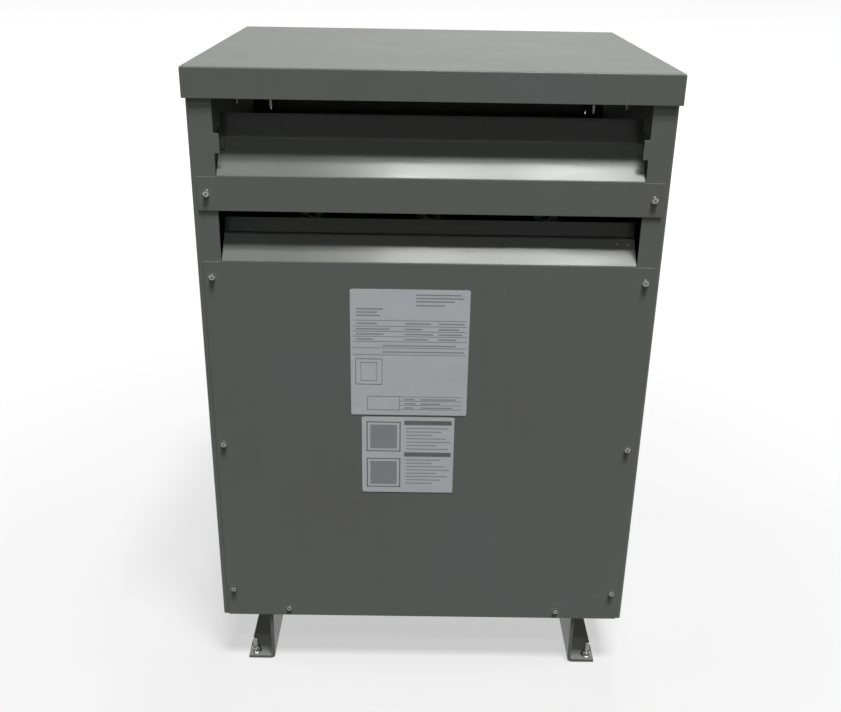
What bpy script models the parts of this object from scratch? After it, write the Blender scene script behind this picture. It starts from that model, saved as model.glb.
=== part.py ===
"""Ventilated dry-type distribution transformer in a floor-standing sheet-steel enclosure.

Units are metres and +Z is up. The origin is under the middle of the enclosure, on the plane
that the feet stand on. The front of the enclosure faces -Y.

The enclosure is two folded side panels, screwed front and rear panels, vent bars with folded
louvres, and a lift-off cover. Two bent foot rails carry it, and cross rails with rubber pads
carry the laminated core with its windings.
"""
import math

import bmesh
import bpy
from mathutils import Matrix, Vector

# Clearances
GAP = 0.0003                    # between pieces that touch
HOLE_CLEARANCE = 0.0005         # added to a screw's or stud's radius to make its hole
DRILL_DEPTH = 0.012             # of the cutter that makes a screw hole
LOUVRE_END_GAP = 0.001          # between a louvre's end and the side panel's front edge

# Enclosure
CASE_WIDTH = 0.716
CASE_DEPTH = 0.595
CASE_HEIGHT = 0.9535            # from the lower edge of the side panels to their upper edge
FOOT_HEIGHT = 0.103             # from the ground to the lower edge of the enclosure
SHEET = 0.002
BEND_RADIUS = 0.003             # on the middle of the sheet
BEND_STEPS = 3
LOUVRE_BEND_STEPS = 2
POST_FLANGE = 0.038             # return of a side panel across the front and the rear
TAB_REACH = 0.008               # locating tab, past the edge of the post flange
TAB_BOTTOM = 0.831              # above the lower edge of the enclosure
TAB_HEIGHT = 0.029
TAB_CLEARANCE = 0.001
BEND_RELIEF = 0.0015            # the louvre's ends are cut this far below its first fold

# Cover
COVER_SKIRT = 0.0448
COVER_SIDE_OVERHANG = 0.00475
COVER_END_OVERHANG = 0.0051
COVER_SHEET = 0.002
COVER_EDGE_RADIUS = 0.003
COVER_EDGE_STEPS = 3

# Panels and vent bars, heights above the lower edge of the enclosure
PANEL_HEIGHT = 0.666
BAR_BOTTOM = 0.745
BAR_HEIGHT = 0.053
PANEL_SIDE_MARGIN = 0.010       # from the side of the enclosure to the edge of a panel
BAR_SIDE_MARGIN = 0.009
LEDGE = (0.015, 0.015)           # depth and rise of the folded ledge
PANEL_LOUVRE = ((0.036, 0.037), (0.043, 0.058))
BAR_LOUVRE = ((0.046, 0.047), (0.058, 0.083))

# Screws with a hex washer head
SCREW_RADIUS = 0.0024
SCREW_LENGTH = 0.012
SCREW_WASHER_RADIUS = 0.0056
SCREW_WASHER_HEIGHT = 0.0010
SCREW_HEAD_FLATS = 0.0079
SCREW_HEAD_HEIGHT = 0.0042
SCREW_TIP = 0.004
SCREW_POINT_RADIUS = 0.0006
SIDE_SCREW_INSET = 0.0225       # from the side of the enclosure to a screw's axis
BAR_SCREW_HEIGHT = 0.7715
PANEL_SCREW_HEIGHTS = (0.0570, 0.3476, 0.6404)
SILL_SCREW_INSET = 0.1195
SILL_SCREW_HEIGHT = 0.017

# Header angles that tie the tops of the side panels
HEADER_BOTTOM = 0.912
HEADER_RISE = 0.036
HEADER_DEPTH = 0.066
RAIL_END_MARGIN = 0.006         # from the side of the enclosure to the end of a header or sill
HEADER_SCREWS = ((0.121, 0.022), (0.0655, 0.055))   # in from the side, back from the front
HEADER_SCREW_LENGTH = 0.021

# Base
RAIL_THICKNESS = 0.006
RAIL_BEND_RADIUS = 0.006
RAIL_INSET = 0.0825             # from the side of the enclosure to a foot rail's web
RAIL_FLANGE = 0.0425            # bottom flange, outward
RAIL_RISE = 0.045               # of the web above the lower edge of the enclosure
RAIL_SHELF = 0.045              # top flange, inward
RAIL_FRONT_INSET = 0.003
SILL_HEIGHT = 0.040
SILL_DEPTH = 0.035
SILL_THICKNESS = 0.003
SILL_NOTCH_CLEARANCE = 0.004
CROSS_RAIL_THICKNESS = 0.004
CROSS_RAIL_HEIGHT = 0.040
CROSS_RAIL_WIDTH = 0.050
PAD_HEIGHT = 0.010
PAD_LENGTH = 0.060
PAD_WIDTH = 0.040
PAD_SPREAD = 0.190              # from the middle of the core to a pad's centre

# Anchors
STUD_RADIUS = 0.00475
STUD_TOP = 0.036
STUD_TIP = 0.004
STUD_POINT_RADIUS = 0.0024
ANCHOR_DRILL_DEPTH = 0.024
STUD_INSET = 0.014              # from the end of the foot rail
STUD_SPREAD = 0.031             # from the web's outer face
NUT_FLATS = 0.0143
NUT_HEIGHT = 0.0083
NUT_WASHER_RADIUS = 0.0102
NUT_WASHER_HEIGHT = 0.0020

# Core and windings
LEG_WIDTH = 0.085
LEG_PITCH = 0.200
LEG_HEIGHT = 0.355
STACK_DEPTH = 0.110
YOKE_HEIGHT = 0.085
YOKE_DROP = 0.012               # from the lower edge of the lower clamps to the yoke
WINDING_HEIGHT = 0.335
INNER_WINDING_BUILD = 0.024
OUTER_WINDING_BUILD = 0.025
WINDING_BORE_CORNER = 0.0004    # where the inner winding fits the square leg
CLAMP_THICKNESS = 0.005
CLAMP_DEPTH = 0.032
LOWER_CLAMP_HEIGHT = 0.110
UPPER_CLAMP_HEIGHT = 0.080
CLAMP_OVERHANG = 0.045          # past the end of the core
WINDING_HEADROOM = 0.014        # between the windings and the upper clamps

# Terminals
BOARD_THICKNESS = 0.012
BOARD_HEIGHT = 0.090
BOARD_MARGIN = 0.020            # past the outer terminals
BUS_BAR_WIDTH = 0.040
BUS_BAR_THICKNESS = 0.006
BUS_BAR_RISE = 0.165            # stands clear above the terminal board
BUS_BAR_REACH = 0.024           # of the foot, back over the winding
BUS_BAR_BEND = 0.005
BUS_BOLT_HOLE = 0.0065
BUS_HOLE_DROP = 0.020           # from the top of the bar to its upper bolt hole
BUS_HOLE_SPACING = 0.030
LUG_SIZE = (0.024, 0.030, 0.022)
LUG_BORE = 0.0065
LUG_BORE_DEPTH = 0.018          # from the rail's face to the bore's axis
LUG_OFFSET = 0.120              # from the middle of the front cross rail

# Stickers on the front panel: width, height, centre across, centre above the lower edge
STICKER_THICKNESS = 0.0003
RATING_STICKER = (0.1885, 0.2180, -0.0290, 0.5150)
SAFETY_STICKER = (0.1525, 0.1424, -0.0298, 0.3308)

ROUND_STEPS = 12

# Places worked out from the sizes above
FRONT = -CASE_DEPTH / 2
HALF_WIDTH = CASE_WIDTH / 2
TOP = FOOT_HEIGHT + CASE_HEIGHT + GAP + COVER_SHEET
PANEL_BACK = FRONT - GAP
PANEL_FACE = PANEL_BACK - SHEET
LOUVRE_HALF = HALF_WIDTH - POST_FLANGE - LOUVRE_END_GAP
RAIL_TOP = FOOT_HEIGHT + RAIL_RISE
WEB_OUTER = HALF_WIDTH - RAIL_INSET
CROSS_RAIL_TOP = RAIL_TOP + GAP + CROSS_RAIL_HEIGHT
PAD_TOP = CROSS_RAIL_TOP + GAP + PAD_HEIGHT
CLAMP_BASE = PAD_TOP + GAP
LOWER_CLAMP_TOP = CLAMP_BASE + LOWER_CLAMP_HEIGHT
WINDING_BASE = LOWER_CLAMP_TOP + GAP
WINDING_TOP = WINDING_BASE + WINDING_HEIGHT
LOWER_YOKE_BASE = CLAMP_BASE + YOKE_DROP
LEG_BASE = LOWER_YOKE_BASE + YOKE_HEIGHT + GAP
UPPER_YOKE_BASE = LEG_BASE + LEG_HEIGHT + GAP
UPPER_CLAMP_BASE = WINDING_TOP + WINDING_HEADROOM
CORE_HALF = LEG_PITCH + LEG_WIDTH / 2
CLAMP_FACE = STACK_DEPTH / 2 + GAP
CROSS_RAIL_CENTRE = CLAMP_FACE + CLAMP_DEPTH / 2

# Finishes: colour, roughness and metallic value
GREY_PAINT = ((0.30, 0.315, 0.295), 0.40, 0.0)
ZINC = ((0.62, 0.62, 0.60), 0.30, 1.0)
RUBBER = ((0.03, 0.03, 0.03), 0.80, 0.0)
CORE_STEEL = ((0.22, 0.23, 0.25), 0.50, 0.8)
VARNISH = ((0.30, 0.16, 0.06), 0.45, 0.0)
INSULATION = ((0.55, 0.36, 0.17), 0.60, 0.0)
BOARD_RED = ((0.42, 0.07, 0.04), 0.50, 0.0)
ALUMINIUM = ((0.75, 0.76, 0.77), 0.35, 1.0)
STICKER_WHITE = ((0.80, 0.80, 0.80), 0.45, 0.0)


# Shapes ---------------------------------------------------------------------------------

def clear_scene():
    """Remove every object that the file starts with."""
    for item in list(bpy.data.objects):
        bpy.data.objects.remove(item, do_unlink=True)


def dress(item, finish):
    """Give an object a material of its own in one of the finishes."""
    colour, roughness, metallic = finish
    material = bpy.data.materials.new(item.name + "_finish")
    material.use_nodes = True
    shader = material.node_tree.nodes["Principled BSDF"]
    shader.inputs["Base Color"].default_value = (*colour, 1.0)
    shader.inputs["Roughness"].default_value = roughness
    shader.inputs["Metallic"].default_value = metallic
    material.diffuse_color = (*colour, 1.0)
    item.data.materials.clear()
    item.data.materials.append(material)


def place(name, shape, finish=None, location=(0.0, 0.0, 0.0), turn=0.0):
    """Make a named object from a bmesh, turned about +Z and moved to its place."""
    bmesh.ops.remove_doubles(shape, verts=shape.verts, dist=1e-6)
    bmesh.ops.recalc_face_normals(shape, faces=shape.faces)
    mesh = bpy.data.meshes.new(name)
    shape.to_mesh(mesh)
    shape.free()
    item = bpy.data.objects.new(name, mesh)
    item.location = location
    item.rotation_euler = (0.0, 0.0, turn)
    bpy.context.scene.collection.objects.link(item)
    if finish:
        dress(item, finish)
    return item


def prism(outline, axis, low, high):
    """Extrude a flat outline along an axis. The outline holds the other two coordinates."""
    order = {"X": (2, 0, 1), "Y": (0, 2, 1), "Z": (0, 1, 2)}[axis]
    shape = bmesh.new()
    base = []
    for first, second in outline:
        values = (first, second, low)
        base.append(shape.verts.new([values[index] for index in order]))
    face = shape.faces.new(base)
    grown = bmesh.ops.extrude_face_region(shape, geom=[face])
    step = [0.0, 0.0, 0.0]
    step["XYZ".index(axis)] = high - low
    moved = [part for part in grown["geom"] if isinstance(part, bmesh.types.BMVert)]
    bmesh.ops.translate(shape, verts=moved, vec=step)
    return shape


def box(low, high):
    """A box between two corners."""
    outline = [(low[0], low[1]), (high[0], low[1]), (high[0], high[1]), (low[0], high[1])]
    return prism(outline, "Z", low[2], high[2])


def round_corner(before, corner, after, radius, steps):
    """Points of the arc that replaces a corner of a path."""
    start = (before - corner).normalized()
    end = (after - corner).normalized()
    turn = math.pi - start.angle(end)
    if turn < 1e-6 or radius <= 0.0:
        return [corner]
    setback = radius * math.tan(turn / 2)
    centre = corner + (start + end).normalized() * (radius / math.cos(turn / 2))
    first = corner + start * setback - centre
    side = 1.0 if start.x * end.y - start.y * end.x < 0.0 else -1.0
    arc = []
    for step in range(steps + 1):
        angle = side * turn * step / steps
        spun = Vector((first.x * math.cos(angle) - first.y * math.sin(angle),
                       first.x * math.sin(angle) + first.y * math.cos(angle)))
        arc.append(centre + spun)
    return arc


def folded(path, thickness, radius=BEND_RADIUS, steps=BEND_STEPS):
    """Outline of a folded sheet whose middle follows a path of straight runs."""
    corners = [Vector(point) for point in path]
    line = [corners[0]]
    for before, corner, after in zip(corners, corners[1:], corners[2:]):
        line.extend(round_corner(before, corner, after, radius, steps))
    line.append(corners[-1])
    left = []
    right = []
    for index, point in enumerate(line):
        runs = []
        if index > 0:
            runs.append((point - line[index - 1]).normalized())
        if index < len(line) - 1:
            runs.append((line[index + 1] - point).normalized())
        along = sum(runs, Vector((0.0, 0.0))).normalized()
        across = Vector((-along.y, along.x))
        half = thickness / 2 / max(0.5, along.dot(runs[0]))
        left.append(point + across * half)
        right.append(point - across * half)
    return [tuple(point) for point in left + right[::-1]]


def ring_points(radius, flats=0.0, steps=ROUND_STEPS):
    """A circle, or a hexagon where flats gives its width, with the same number of points."""
    points = []
    for step in range(steps):
        angle = math.tau * step / steps
        reach = radius
        if flats:
            reach = flats / 2 / math.cos((angle + math.pi / 6) % (math.pi / 3) - math.pi / 6)
        points.append((reach * math.cos(angle), reach * math.sin(angle)))
    return points


def loft(levels, bore=0.0):
    """A turned or hexagonal piece along +Z from (height, radius, flats) levels."""
    shape = bmesh.new()
    rings = []
    for height, radius, flats in levels:
        rings.append([shape.verts.new((x, y, height)) for x, y in ring_points(radius, flats)])
    if bore:
        for height in (levels[-1][0], levels[0][0]):
            rings.append([shape.verts.new((x, y, height)) for x, y in ring_points(bore)])
        rings.append(rings[0])
    for lower, upper in zip(rings, rings[1:]):
        for index in range(ROUND_STEPS):
            after = (index + 1) % ROUND_STEPS
            shape.faces.new((lower[index], lower[after], upper[after], upper[index]))
    if not bore:
        shape.faces.new(rings[0][::-1])
        shape.faces.new(rings[-1])
    return shape


def merge(shapes):
    """Put several separate shapes in one bmesh, to cut them all at once."""
    whole = bmesh.new()
    for shape in shapes:
        mesh = bpy.data.meshes.new("part_of_cutter")
        shape.to_mesh(mesh)
        shape.free()
        whole.from_mesh(mesh)
        bpy.data.meshes.remove(mesh)
    return whole


def hole(centre, axis, radius, length):
    """A round cutter about a point, along an axis."""
    shape = loft([(-length / 2, radius, 0.0), (length / 2, radius, 0.0)])
    turn = Vector((0.0, 0.0, 1.0)).rotation_difference(Vector(axis)).to_matrix().to_4x4()
    shape.transform(Matrix.Translation(centre) @ turn)
    return shape


def cut(item, shapes):
    """Cut shapes out of an object with one hidden cutter that moves with it."""
    cutter = place(item.name + "_cutter", merge(shapes))
    cutter.hide_render = True
    cutter.display_type = "WIRE"
    cutter.parent = item
    difference = item.modifiers.new("openings", "BOOLEAN")
    difference.operation = "DIFFERENCE"
    difference.solver = "EXACT"
    difference.use_self = True
    difference.object = cutter


def smooth(item):
    """Shade round stretches smooth and keep folded edges sharp."""
    item.data.shade_smooth()
    item.data.set_sharp_from_angle(angle=math.radians(35.0))


def slide_group(name, location, items):
    """Parent the pieces that come off together to an empty on their sliding axis."""
    guide = bpy.data.objects.new(name, None)
    guide.empty_display_size = 0.05
    guide.location = location
    bpy.context.scene.collection.objects.link(guide)
    for item in items:
        item.location = item.location - guide.location
        item.parent = guide
    return guide


# Enclosure ------------------------------------------------------------------------------

def side_screws(heights):
    """Screw axes in the right-hand post: distance across and height above the ground."""
    across = HALF_WIDTH - SIDE_SCREW_INSET
    return [(across, FOOT_HEIGHT + height) for height in heights]


def panel_screw_places():
    """Screw axes of the front panel on its right-hand half."""
    sill_screw = (HALF_WIDTH - SILL_SCREW_INSET, FOOT_HEIGHT + SILL_SCREW_HEIGHT)
    return [*side_screws(PANEL_SCREW_HEIGHTS), sill_screw]


def both_sides(places):
    """The same places on the left-hand and the right-hand side, left side first."""
    return [(side * across, height) for side in (-1, 1) for across, height in places]


def screw_holes(places, along):
    """Cutters for screw holes through a sheet that stands at a distance along Y."""
    return [hole((across, along, height), (0, 1, 0), SCREW_RADIUS + HOLE_CLEARANCE, DRILL_DEPTH)
            for across, height in places]


def side_panel(name, side):
    """Side sheet with a return flange and a locating tab at the front and at the rear."""
    outer = HALF_WIDTH - SHEET / 2
    inner = HALF_WIDTH - POST_FLANGE - TAB_REACH
    end = CASE_DEPTH / 2 - SHEET / 2
    path = [(inner, -end), (outer, -end), (outer, end), (inner, end)]
    item = place(name, prism(folded(path, SHEET), "Z", FOOT_HEIGHT, FOOT_HEIGHT + CASE_HEIGHT),
                 GREY_PAINT)
    tab_low = FOOT_HEIGHT + TAB_BOTTOM
    tab_high = tab_low + TAB_HEIGHT
    edge = HALF_WIDTH - POST_FLANGE
    openings = []
    for low, high in ((FOOT_HEIGHT - SHEET, tab_low), (tab_high, TOP)):
        openings.append(box((inner - SHEET, -CASE_DEPTH, low), (edge, CASE_DEPTH, high)))
    for along in (FRONT, -FRONT):
        openings += screw_holes(side_screws((*PANEL_SCREW_HEIGHTS, BAR_SCREW_HEIGHT)), along)
    cut(item, openings)
    if side < 0:
        item.data.transform(Matrix.Scale(-1.0, 4, (1, 0, 0)))
        item.data.flip_normals()
        cutter = item.modifiers["openings"].object
        cutter.data.transform(Matrix.Scale(-1.0, 4, (1, 0, 0)))
        cutter.data.flip_normals()
    smooth(item)
    return item


def louvred_sheet(name, low, high, half_width, louvre, openings, turn):
    """Flat sheet whose upper edge folds in to a ledge and a louvre between the side panels."""
    middle = PANEL_BACK - SHEET / 2
    path = [(middle, low), (middle, high)]
    for depth, rise in (LEDGE, *louvre):
        path.append((middle + depth, high + rise))
    item = place(name, prism(folded(path, SHEET, BEND_RADIUS, LOUVRE_BEND_STEPS), "X",
                             -half_width, half_width), GREY_PAINT, turn=turn)
    top = high + louvre[-1][1] + SHEET
    back = middle + louvre[-1][0] + SHEET
    for end in (-1, 1):
        edges = sorted((end * LOUVRE_HALF, end * CASE_WIDTH))
        openings.append(box((edges[0], middle - SHEET, high - BEND_RELIEF),
                            (edges[1], back, top)))
    cut(item, openings)
    smooth(item)
    return item


def face_panel(name, screws, turn=0.0):
    """Front or rear panel with its screw holes."""
    return louvred_sheet(name, FOOT_HEIGHT, FOOT_HEIGHT + PANEL_HEIGHT,
                         HALF_WIDTH - PANEL_SIDE_MARGIN, PANEL_LOUVRE,
                         screw_holes(screws, PANEL_FACE), turn)


def vent_bar(name, screws, turn=0.0):
    """Bar across the vent, its louvre notched to pass the tabs of the side panels."""
    low = FOOT_HEIGHT + BAR_BOTTOM
    openings = screw_holes(screws, PANEL_FACE)
    notch_low = FOOT_HEIGHT + TAB_BOTTOM - TAB_CLEARANCE
    notch_high = notch_low + TAB_HEIGHT + 2 * TAB_CLEARANCE
    tab_edge = HALF_WIDTH - POST_FLANGE - TAB_REACH - TAB_CLEARANCE
    for end in (-1, 1):
        edges = sorted((end * tab_edge, end * HALF_WIDTH))
        openings.append(box((edges[0], FRONT, notch_low), (edges[1], 0.0, notch_high)))
    return louvred_sheet(name, low, low + BAR_HEIGHT, HALF_WIDTH - BAR_SIDE_MARGIN,
                         BAR_LOUVRE, openings, turn)


def top_cover():
    """Pan-shaped cover with softly bent edges, open underneath."""
    half_x = HALF_WIDTH + COVER_SIDE_OVERHANG
    half_y = CASE_DEPTH / 2 + COVER_END_OVERHANG
    shape = box((-half_x, -half_y, TOP - COVER_SKIRT), (half_x, half_y, TOP))
    under = min(shape.faces, key=lambda face: face.calc_center_median().z)
    bmesh.ops.delete(shape, geom=[under], context="FACES_ONLY")
    bent = [edge for edge in shape.edges if not edge.is_boundary]
    bmesh.ops.bevel(shape, geom=bent, offset=COVER_EDGE_RADIUS, segments=COVER_EDGE_STEPS,
                    profile=0.5, affect="EDGES", clamp_overlap=True)
    item = place("top_cover", shape, GREY_PAINT)
    shell = item.modifiers.new("sheet", "SOLIDIFY")
    shell.thickness = COVER_SHEET
    shell.offset = -1.0
    shell.use_even_offset = True
    smooth(item)
    return item


def header(name, turn):
    """Angle that ties the tops of the side panels, with clearance holes for its screws."""
    back = FRONT + SHEET + GAP + SHEET / 2
    low = FOOT_HEIGHT + HEADER_BOTTOM + SHEET / 2
    path = [(back, low + HEADER_RISE), (back, low), (back + HEADER_DEPTH, low)]
    half = HALF_WIDTH - RAIL_END_MARGIN
    item = place(name, prism(folded(path, SHEET), "X", -half, half), GREY_PAINT, turn=turn)
    openings = []
    for inset, depth in HEADER_SCREWS:
        for end in (-1, 1):
            openings.append(hole((end * (HALF_WIDTH - inset), FRONT + depth, low), (0, 0, 1),
                                 SCREW_RADIUS + HOLE_CLEARANCE, DRILL_DEPTH))
    cut(item, openings)
    smooth(item)
    return item


def sill(name, turn):
    """Angle that ties the lower ends of the side panels and rests on the foot rails."""
    back = FRONT + SHEET + GAP + SILL_THICKNESS / 2
    low = FOOT_HEIGHT + SILL_THICKNESS / 2
    path = [(back, FOOT_HEIGHT + SILL_HEIGHT), (back, low), (back + SILL_DEPTH, low)]
    half = HALF_WIDTH - RAIL_END_MARGIN
    item = place(name, prism(folded(path, SILL_THICKNESS), "X", -half, half),
                 GREY_PAINT, turn=turn)
    low_screws = [spot for spot in both_sides(panel_screw_places())
                  if spot[1] < FOOT_HEIGHT + SILL_HEIGHT]
    cut(item, screw_holes(low_screws, back))
    smooth(item)
    return item


# Fasteners ------------------------------------------------------------------------------

def screw(length):
    """Hex washer head screw along +Z, its seat at the origin and its point below."""
    levels = [(-length, SCREW_POINT_RADIUS, 0.0), (-length + SCREW_TIP, SCREW_RADIUS, 0.0)]
    levels.append((0.0, SCREW_RADIUS, 0.0))
    levels.append((0.0, SCREW_WASHER_RADIUS, 0.0))
    levels.append((SCREW_WASHER_HEIGHT, SCREW_WASHER_RADIUS, 0.0))
    levels.append((SCREW_WASHER_HEIGHT, 0.0, SCREW_HEAD_FLATS))
    levels.append((SCREW_WASHER_HEIGHT + SCREW_HEAD_HEIGHT, 0.0, SCREW_HEAD_FLATS))
    return loft(levels)


def face_screws(prefix, places):
    """Screws on the front, heads outward, numbered from the lower left."""
    items = []
    for number, (across, height) in enumerate(places, start=1):
        item = place(f"{prefix}_{number}", screw(SCREW_LENGTH), ZINC)
        item.location = (across, PANEL_FACE - GAP, height)
        item.rotation_euler = (math.pi / 2, 0.0, 0.0)
        smooth(item)
        items.append(item)
    return items


def header_screws():
    """Screws through the front header, their points hanging below it."""
    seat = FOOT_HEIGHT + HEADER_BOTTOM + SHEET + GAP
    spots = [(side * (HALF_WIDTH - inset), FRONT + depth, seat)
             for side in (-1, 1) for inset, depth in HEADER_SCREWS]
    for number, spot in enumerate(spots, start=1):
        smooth(place(f"header_screw_{number}", screw(HEADER_SCREW_LENGTH), ZINC, spot))


def anchors():
    """Stud and flanged nut at the front end of each foot rail."""
    for name, side in (("left", -1), ("right", 1)):
        spot = (side * (WEB_OUTER + STUD_SPREAD), FRONT + RAIL_FRONT_INSET + STUD_INSET)
        shank = [(GAP, STUD_RADIUS, 0.0), (STUD_TOP - STUD_TIP, STUD_RADIUS, 0.0),
                 (STUD_TOP, STUD_POINT_RADIUS, 0.0)]
        smooth(place(f"anchor_stud_{name}", loft(shank), ZINC, (*spot, 0.0)))
        seat = RAIL_THICKNESS + GAP
        shoulder = seat + NUT_WASHER_HEIGHT
        levels = [(seat, NUT_WASHER_RADIUS, 0.0), (shoulder, NUT_WASHER_RADIUS, 0.0),
                  (shoulder, 0.0, NUT_FLATS), (shoulder + NUT_HEIGHT, 0.0, NUT_FLATS)]
        nut = place(f"anchor_nut_{name}", loft(levels, STUD_RADIUS + HOLE_CLEARANCE), ZINC,
                    (*spot, 0.0))
        smooth(nut)


# Base -----------------------------------------------------------------------------------

def foot_rail(name, side):
    """Bent rail: flange on the ground, web, and a shelf inside the enclosure."""
    web = WEB_OUTER - RAIL_THICKNESS / 2
    low = RAIL_THICKNESS / 2
    high = RAIL_TOP - RAIL_THICKNESS / 2
    path = [(WEB_OUTER + RAIL_FLANGE, low), (web, low), (web, high), (web - RAIL_SHELF, high)]
    if side < 0:
        path = [(-across, height) for across, height in path]
    length = CASE_DEPTH / 2 - RAIL_FRONT_INSET
    outline = folded(path, RAIL_THICKNESS, RAIL_BEND_RADIUS)
    item = place(name, prism(outline, "Y", -length, length), GREY_PAINT)
    openings = []
    notch = CASE_DEPTH / 2 - SHEET - GAP - SILL_DEPTH - SILL_NOTCH_CLEARANCE
    stud = side * (WEB_OUTER + STUD_SPREAD)
    for end in (-1, 1):
        span = sorted((end * notch, end * CASE_DEPTH))
        openings.append(box((-CASE_WIDTH, span[0], FOOT_HEIGHT - GAP),
                            (CASE_WIDTH, span[1], RAIL_TOP + RAIL_THICKNESS)))
        openings.append(hole((stud, end * (length - STUD_INSET), low), (0, 0, 1),
                             STUD_RADIUS + HOLE_CLEARANCE, ANCHOR_DRILL_DEPTH))
    cut(item, openings)
    smooth(item)
    return item


def channel(near, low, depth, height, thickness):
    """Path of a C section: its web at the near edge, its flanges reaching out by depth."""
    half = thickness / 2
    web = near + math.copysign(half, depth)
    far = near + depth
    return [(far, low + half), (web, low + half), (web, low + height - half),
            (far, low + height - half)]


def cross_rail(name, side):
    """Channel from foot rail to foot rail under the core, open downward."""
    centre = side * CROSS_RAIL_CENTRE
    half = CROSS_RAIL_WIDTH / 2 - CROSS_RAIL_THICKNESS / 2
    low = RAIL_TOP + GAP
    crown = CROSS_RAIL_TOP - CROSS_RAIL_THICKNESS / 2
    path = [(centre - half, low), (centre - half, crown), (centre + half, crown),
            (centre + half, low)]
    smooth(place(name, prism(folded(path, CROSS_RAIL_THICKNESS), "X", -WEB_OUTER, WEB_OUTER),
                 GREY_PAINT))


def base():
    """Foot rails, sills, cross rails and the rubber pads under the core."""
    foot_rail("foot_rail_left", -1)
    foot_rail("foot_rail_right", 1)
    sill("sill_front", 0.0)
    sill("sill_rear", math.pi)
    cross_rail("cross_rail_front", -1)
    cross_rail("cross_rail_rear", 1)
    low = CROSS_RAIL_TOP + GAP
    spots = [(end * PAD_SPREAD, side * CROSS_RAIL_CENTRE) for side in (-1, 1) for end in (-1, 1)]
    for number, (across, along) in enumerate(spots, start=1):
        pad = box((across - PAD_LENGTH / 2, along - PAD_WIDTH / 2, low),
                  (across + PAD_LENGTH / 2, along + PAD_WIDTH / 2, PAD_TOP))
        place(f"vibration_pad_{number}", pad, RUBBER)


# Core and windings ----------------------------------------------------------------------

def stacked_steel(name, low, high, base_height, height):
    """One stack of laminations, between two distances across the core."""
    shape = box((low, -STACK_DEPTH / 2, base_height), (high, STACK_DEPTH / 2,
                                                       base_height + height))
    place(name, shape, CORE_STEEL)


def rounded_rectangle(half_x, half_y, radius, steps=BEND_STEPS):
    """Outline of a rectangle with round corners."""
    points = []
    for quarter, (sign_x, sign_y) in enumerate(((1, 1), (-1, 1), (-1, -1), (1, -1))):
        for step in range(steps + 1):
            angle = math.pi / 2 * (quarter + step / steps)
            points.append((sign_x * (half_x - radius) + radius * math.cos(angle),
                           sign_y * (half_y - radius) + radius * math.sin(angle)))
    return points


def winding(name, centre, inner, build, inner_corner, finish):
    """Rectangular winding with round corners, wound about one leg."""
    outer_corner = inner_corner + build
    bore = rounded_rectangle(inner[0], inner[1], inner_corner)
    rim = rounded_rectangle(inner[0] + build, inner[1] + build, outer_corner)
    shape = bmesh.new()
    rings = []
    for outline, height in ((rim, WINDING_BASE), (rim, WINDING_TOP), (bore, WINDING_TOP),
                            (bore, WINDING_BASE)):
        rings.append([shape.verts.new((centre + x, y, height)) for x, y in outline])
    count = len(bore)
    for lower, upper in zip(rings, rings[1:] + rings[:1]):
        for index in range(count):
            after = (index + 1) % count
            shape.faces.new((lower[index], lower[after], upper[after], upper[index]))
    smooth(place(name, shape, finish))


def clamp(name, side, low, height):
    """Channel that holds a yoke, its web against the laminations."""
    half = CORE_HALF + CLAMP_OVERHANG
    path = channel(side * CLAMP_FACE, low, side * CLAMP_DEPTH, height, CLAMP_THICKNESS)
    smooth(place(name, prism(folded(path, CLAMP_THICKNESS), "X", -half, half), GREY_PAINT))


def core_and_coils():
    """Three-legged core, its clamps and two windings on each leg."""
    stacked_steel("core_yoke_lower", -CORE_HALF, CORE_HALF, LOWER_YOKE_BASE, YOKE_HEIGHT)
    stacked_steel("core_yoke_upper", -CORE_HALF, CORE_HALF, UPPER_YOKE_BASE, YOKE_HEIGHT)
    for number in (1, 2, 3):
        centre = (number - 2) * LEG_PITCH
        half = LEG_WIDTH / 2
        stacked_steel(f"core_leg_{number}", centre - half, centre + half, LEG_BASE, LEG_HEIGHT)
        inner = (half + GAP, STACK_DEPTH / 2 + GAP)
        winding(f"inner_winding_{number}", centre, inner, INNER_WINDING_BUILD,
                WINDING_BORE_CORNER, INSULATION)
        step = INNER_WINDING_BUILD + GAP
        winding(f"outer_winding_{number}", centre, (inner[0] + step, inner[1] + step),
                OUTER_WINDING_BUILD, INNER_WINDING_BUILD + WINDING_BORE_CORNER, VARNISH)
    for place_name, side in (("front", -1), ("rear", 1)):
        clamp(f"lower_clamp_{place_name}", side, CLAMP_BASE, LOWER_CLAMP_HEIGHT)
        clamp(f"upper_clamp_{place_name}", side, UPPER_CLAMP_BASE, UPPER_CLAMP_HEIGHT)


# Terminals ------------------------------------------------------------------------------

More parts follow.
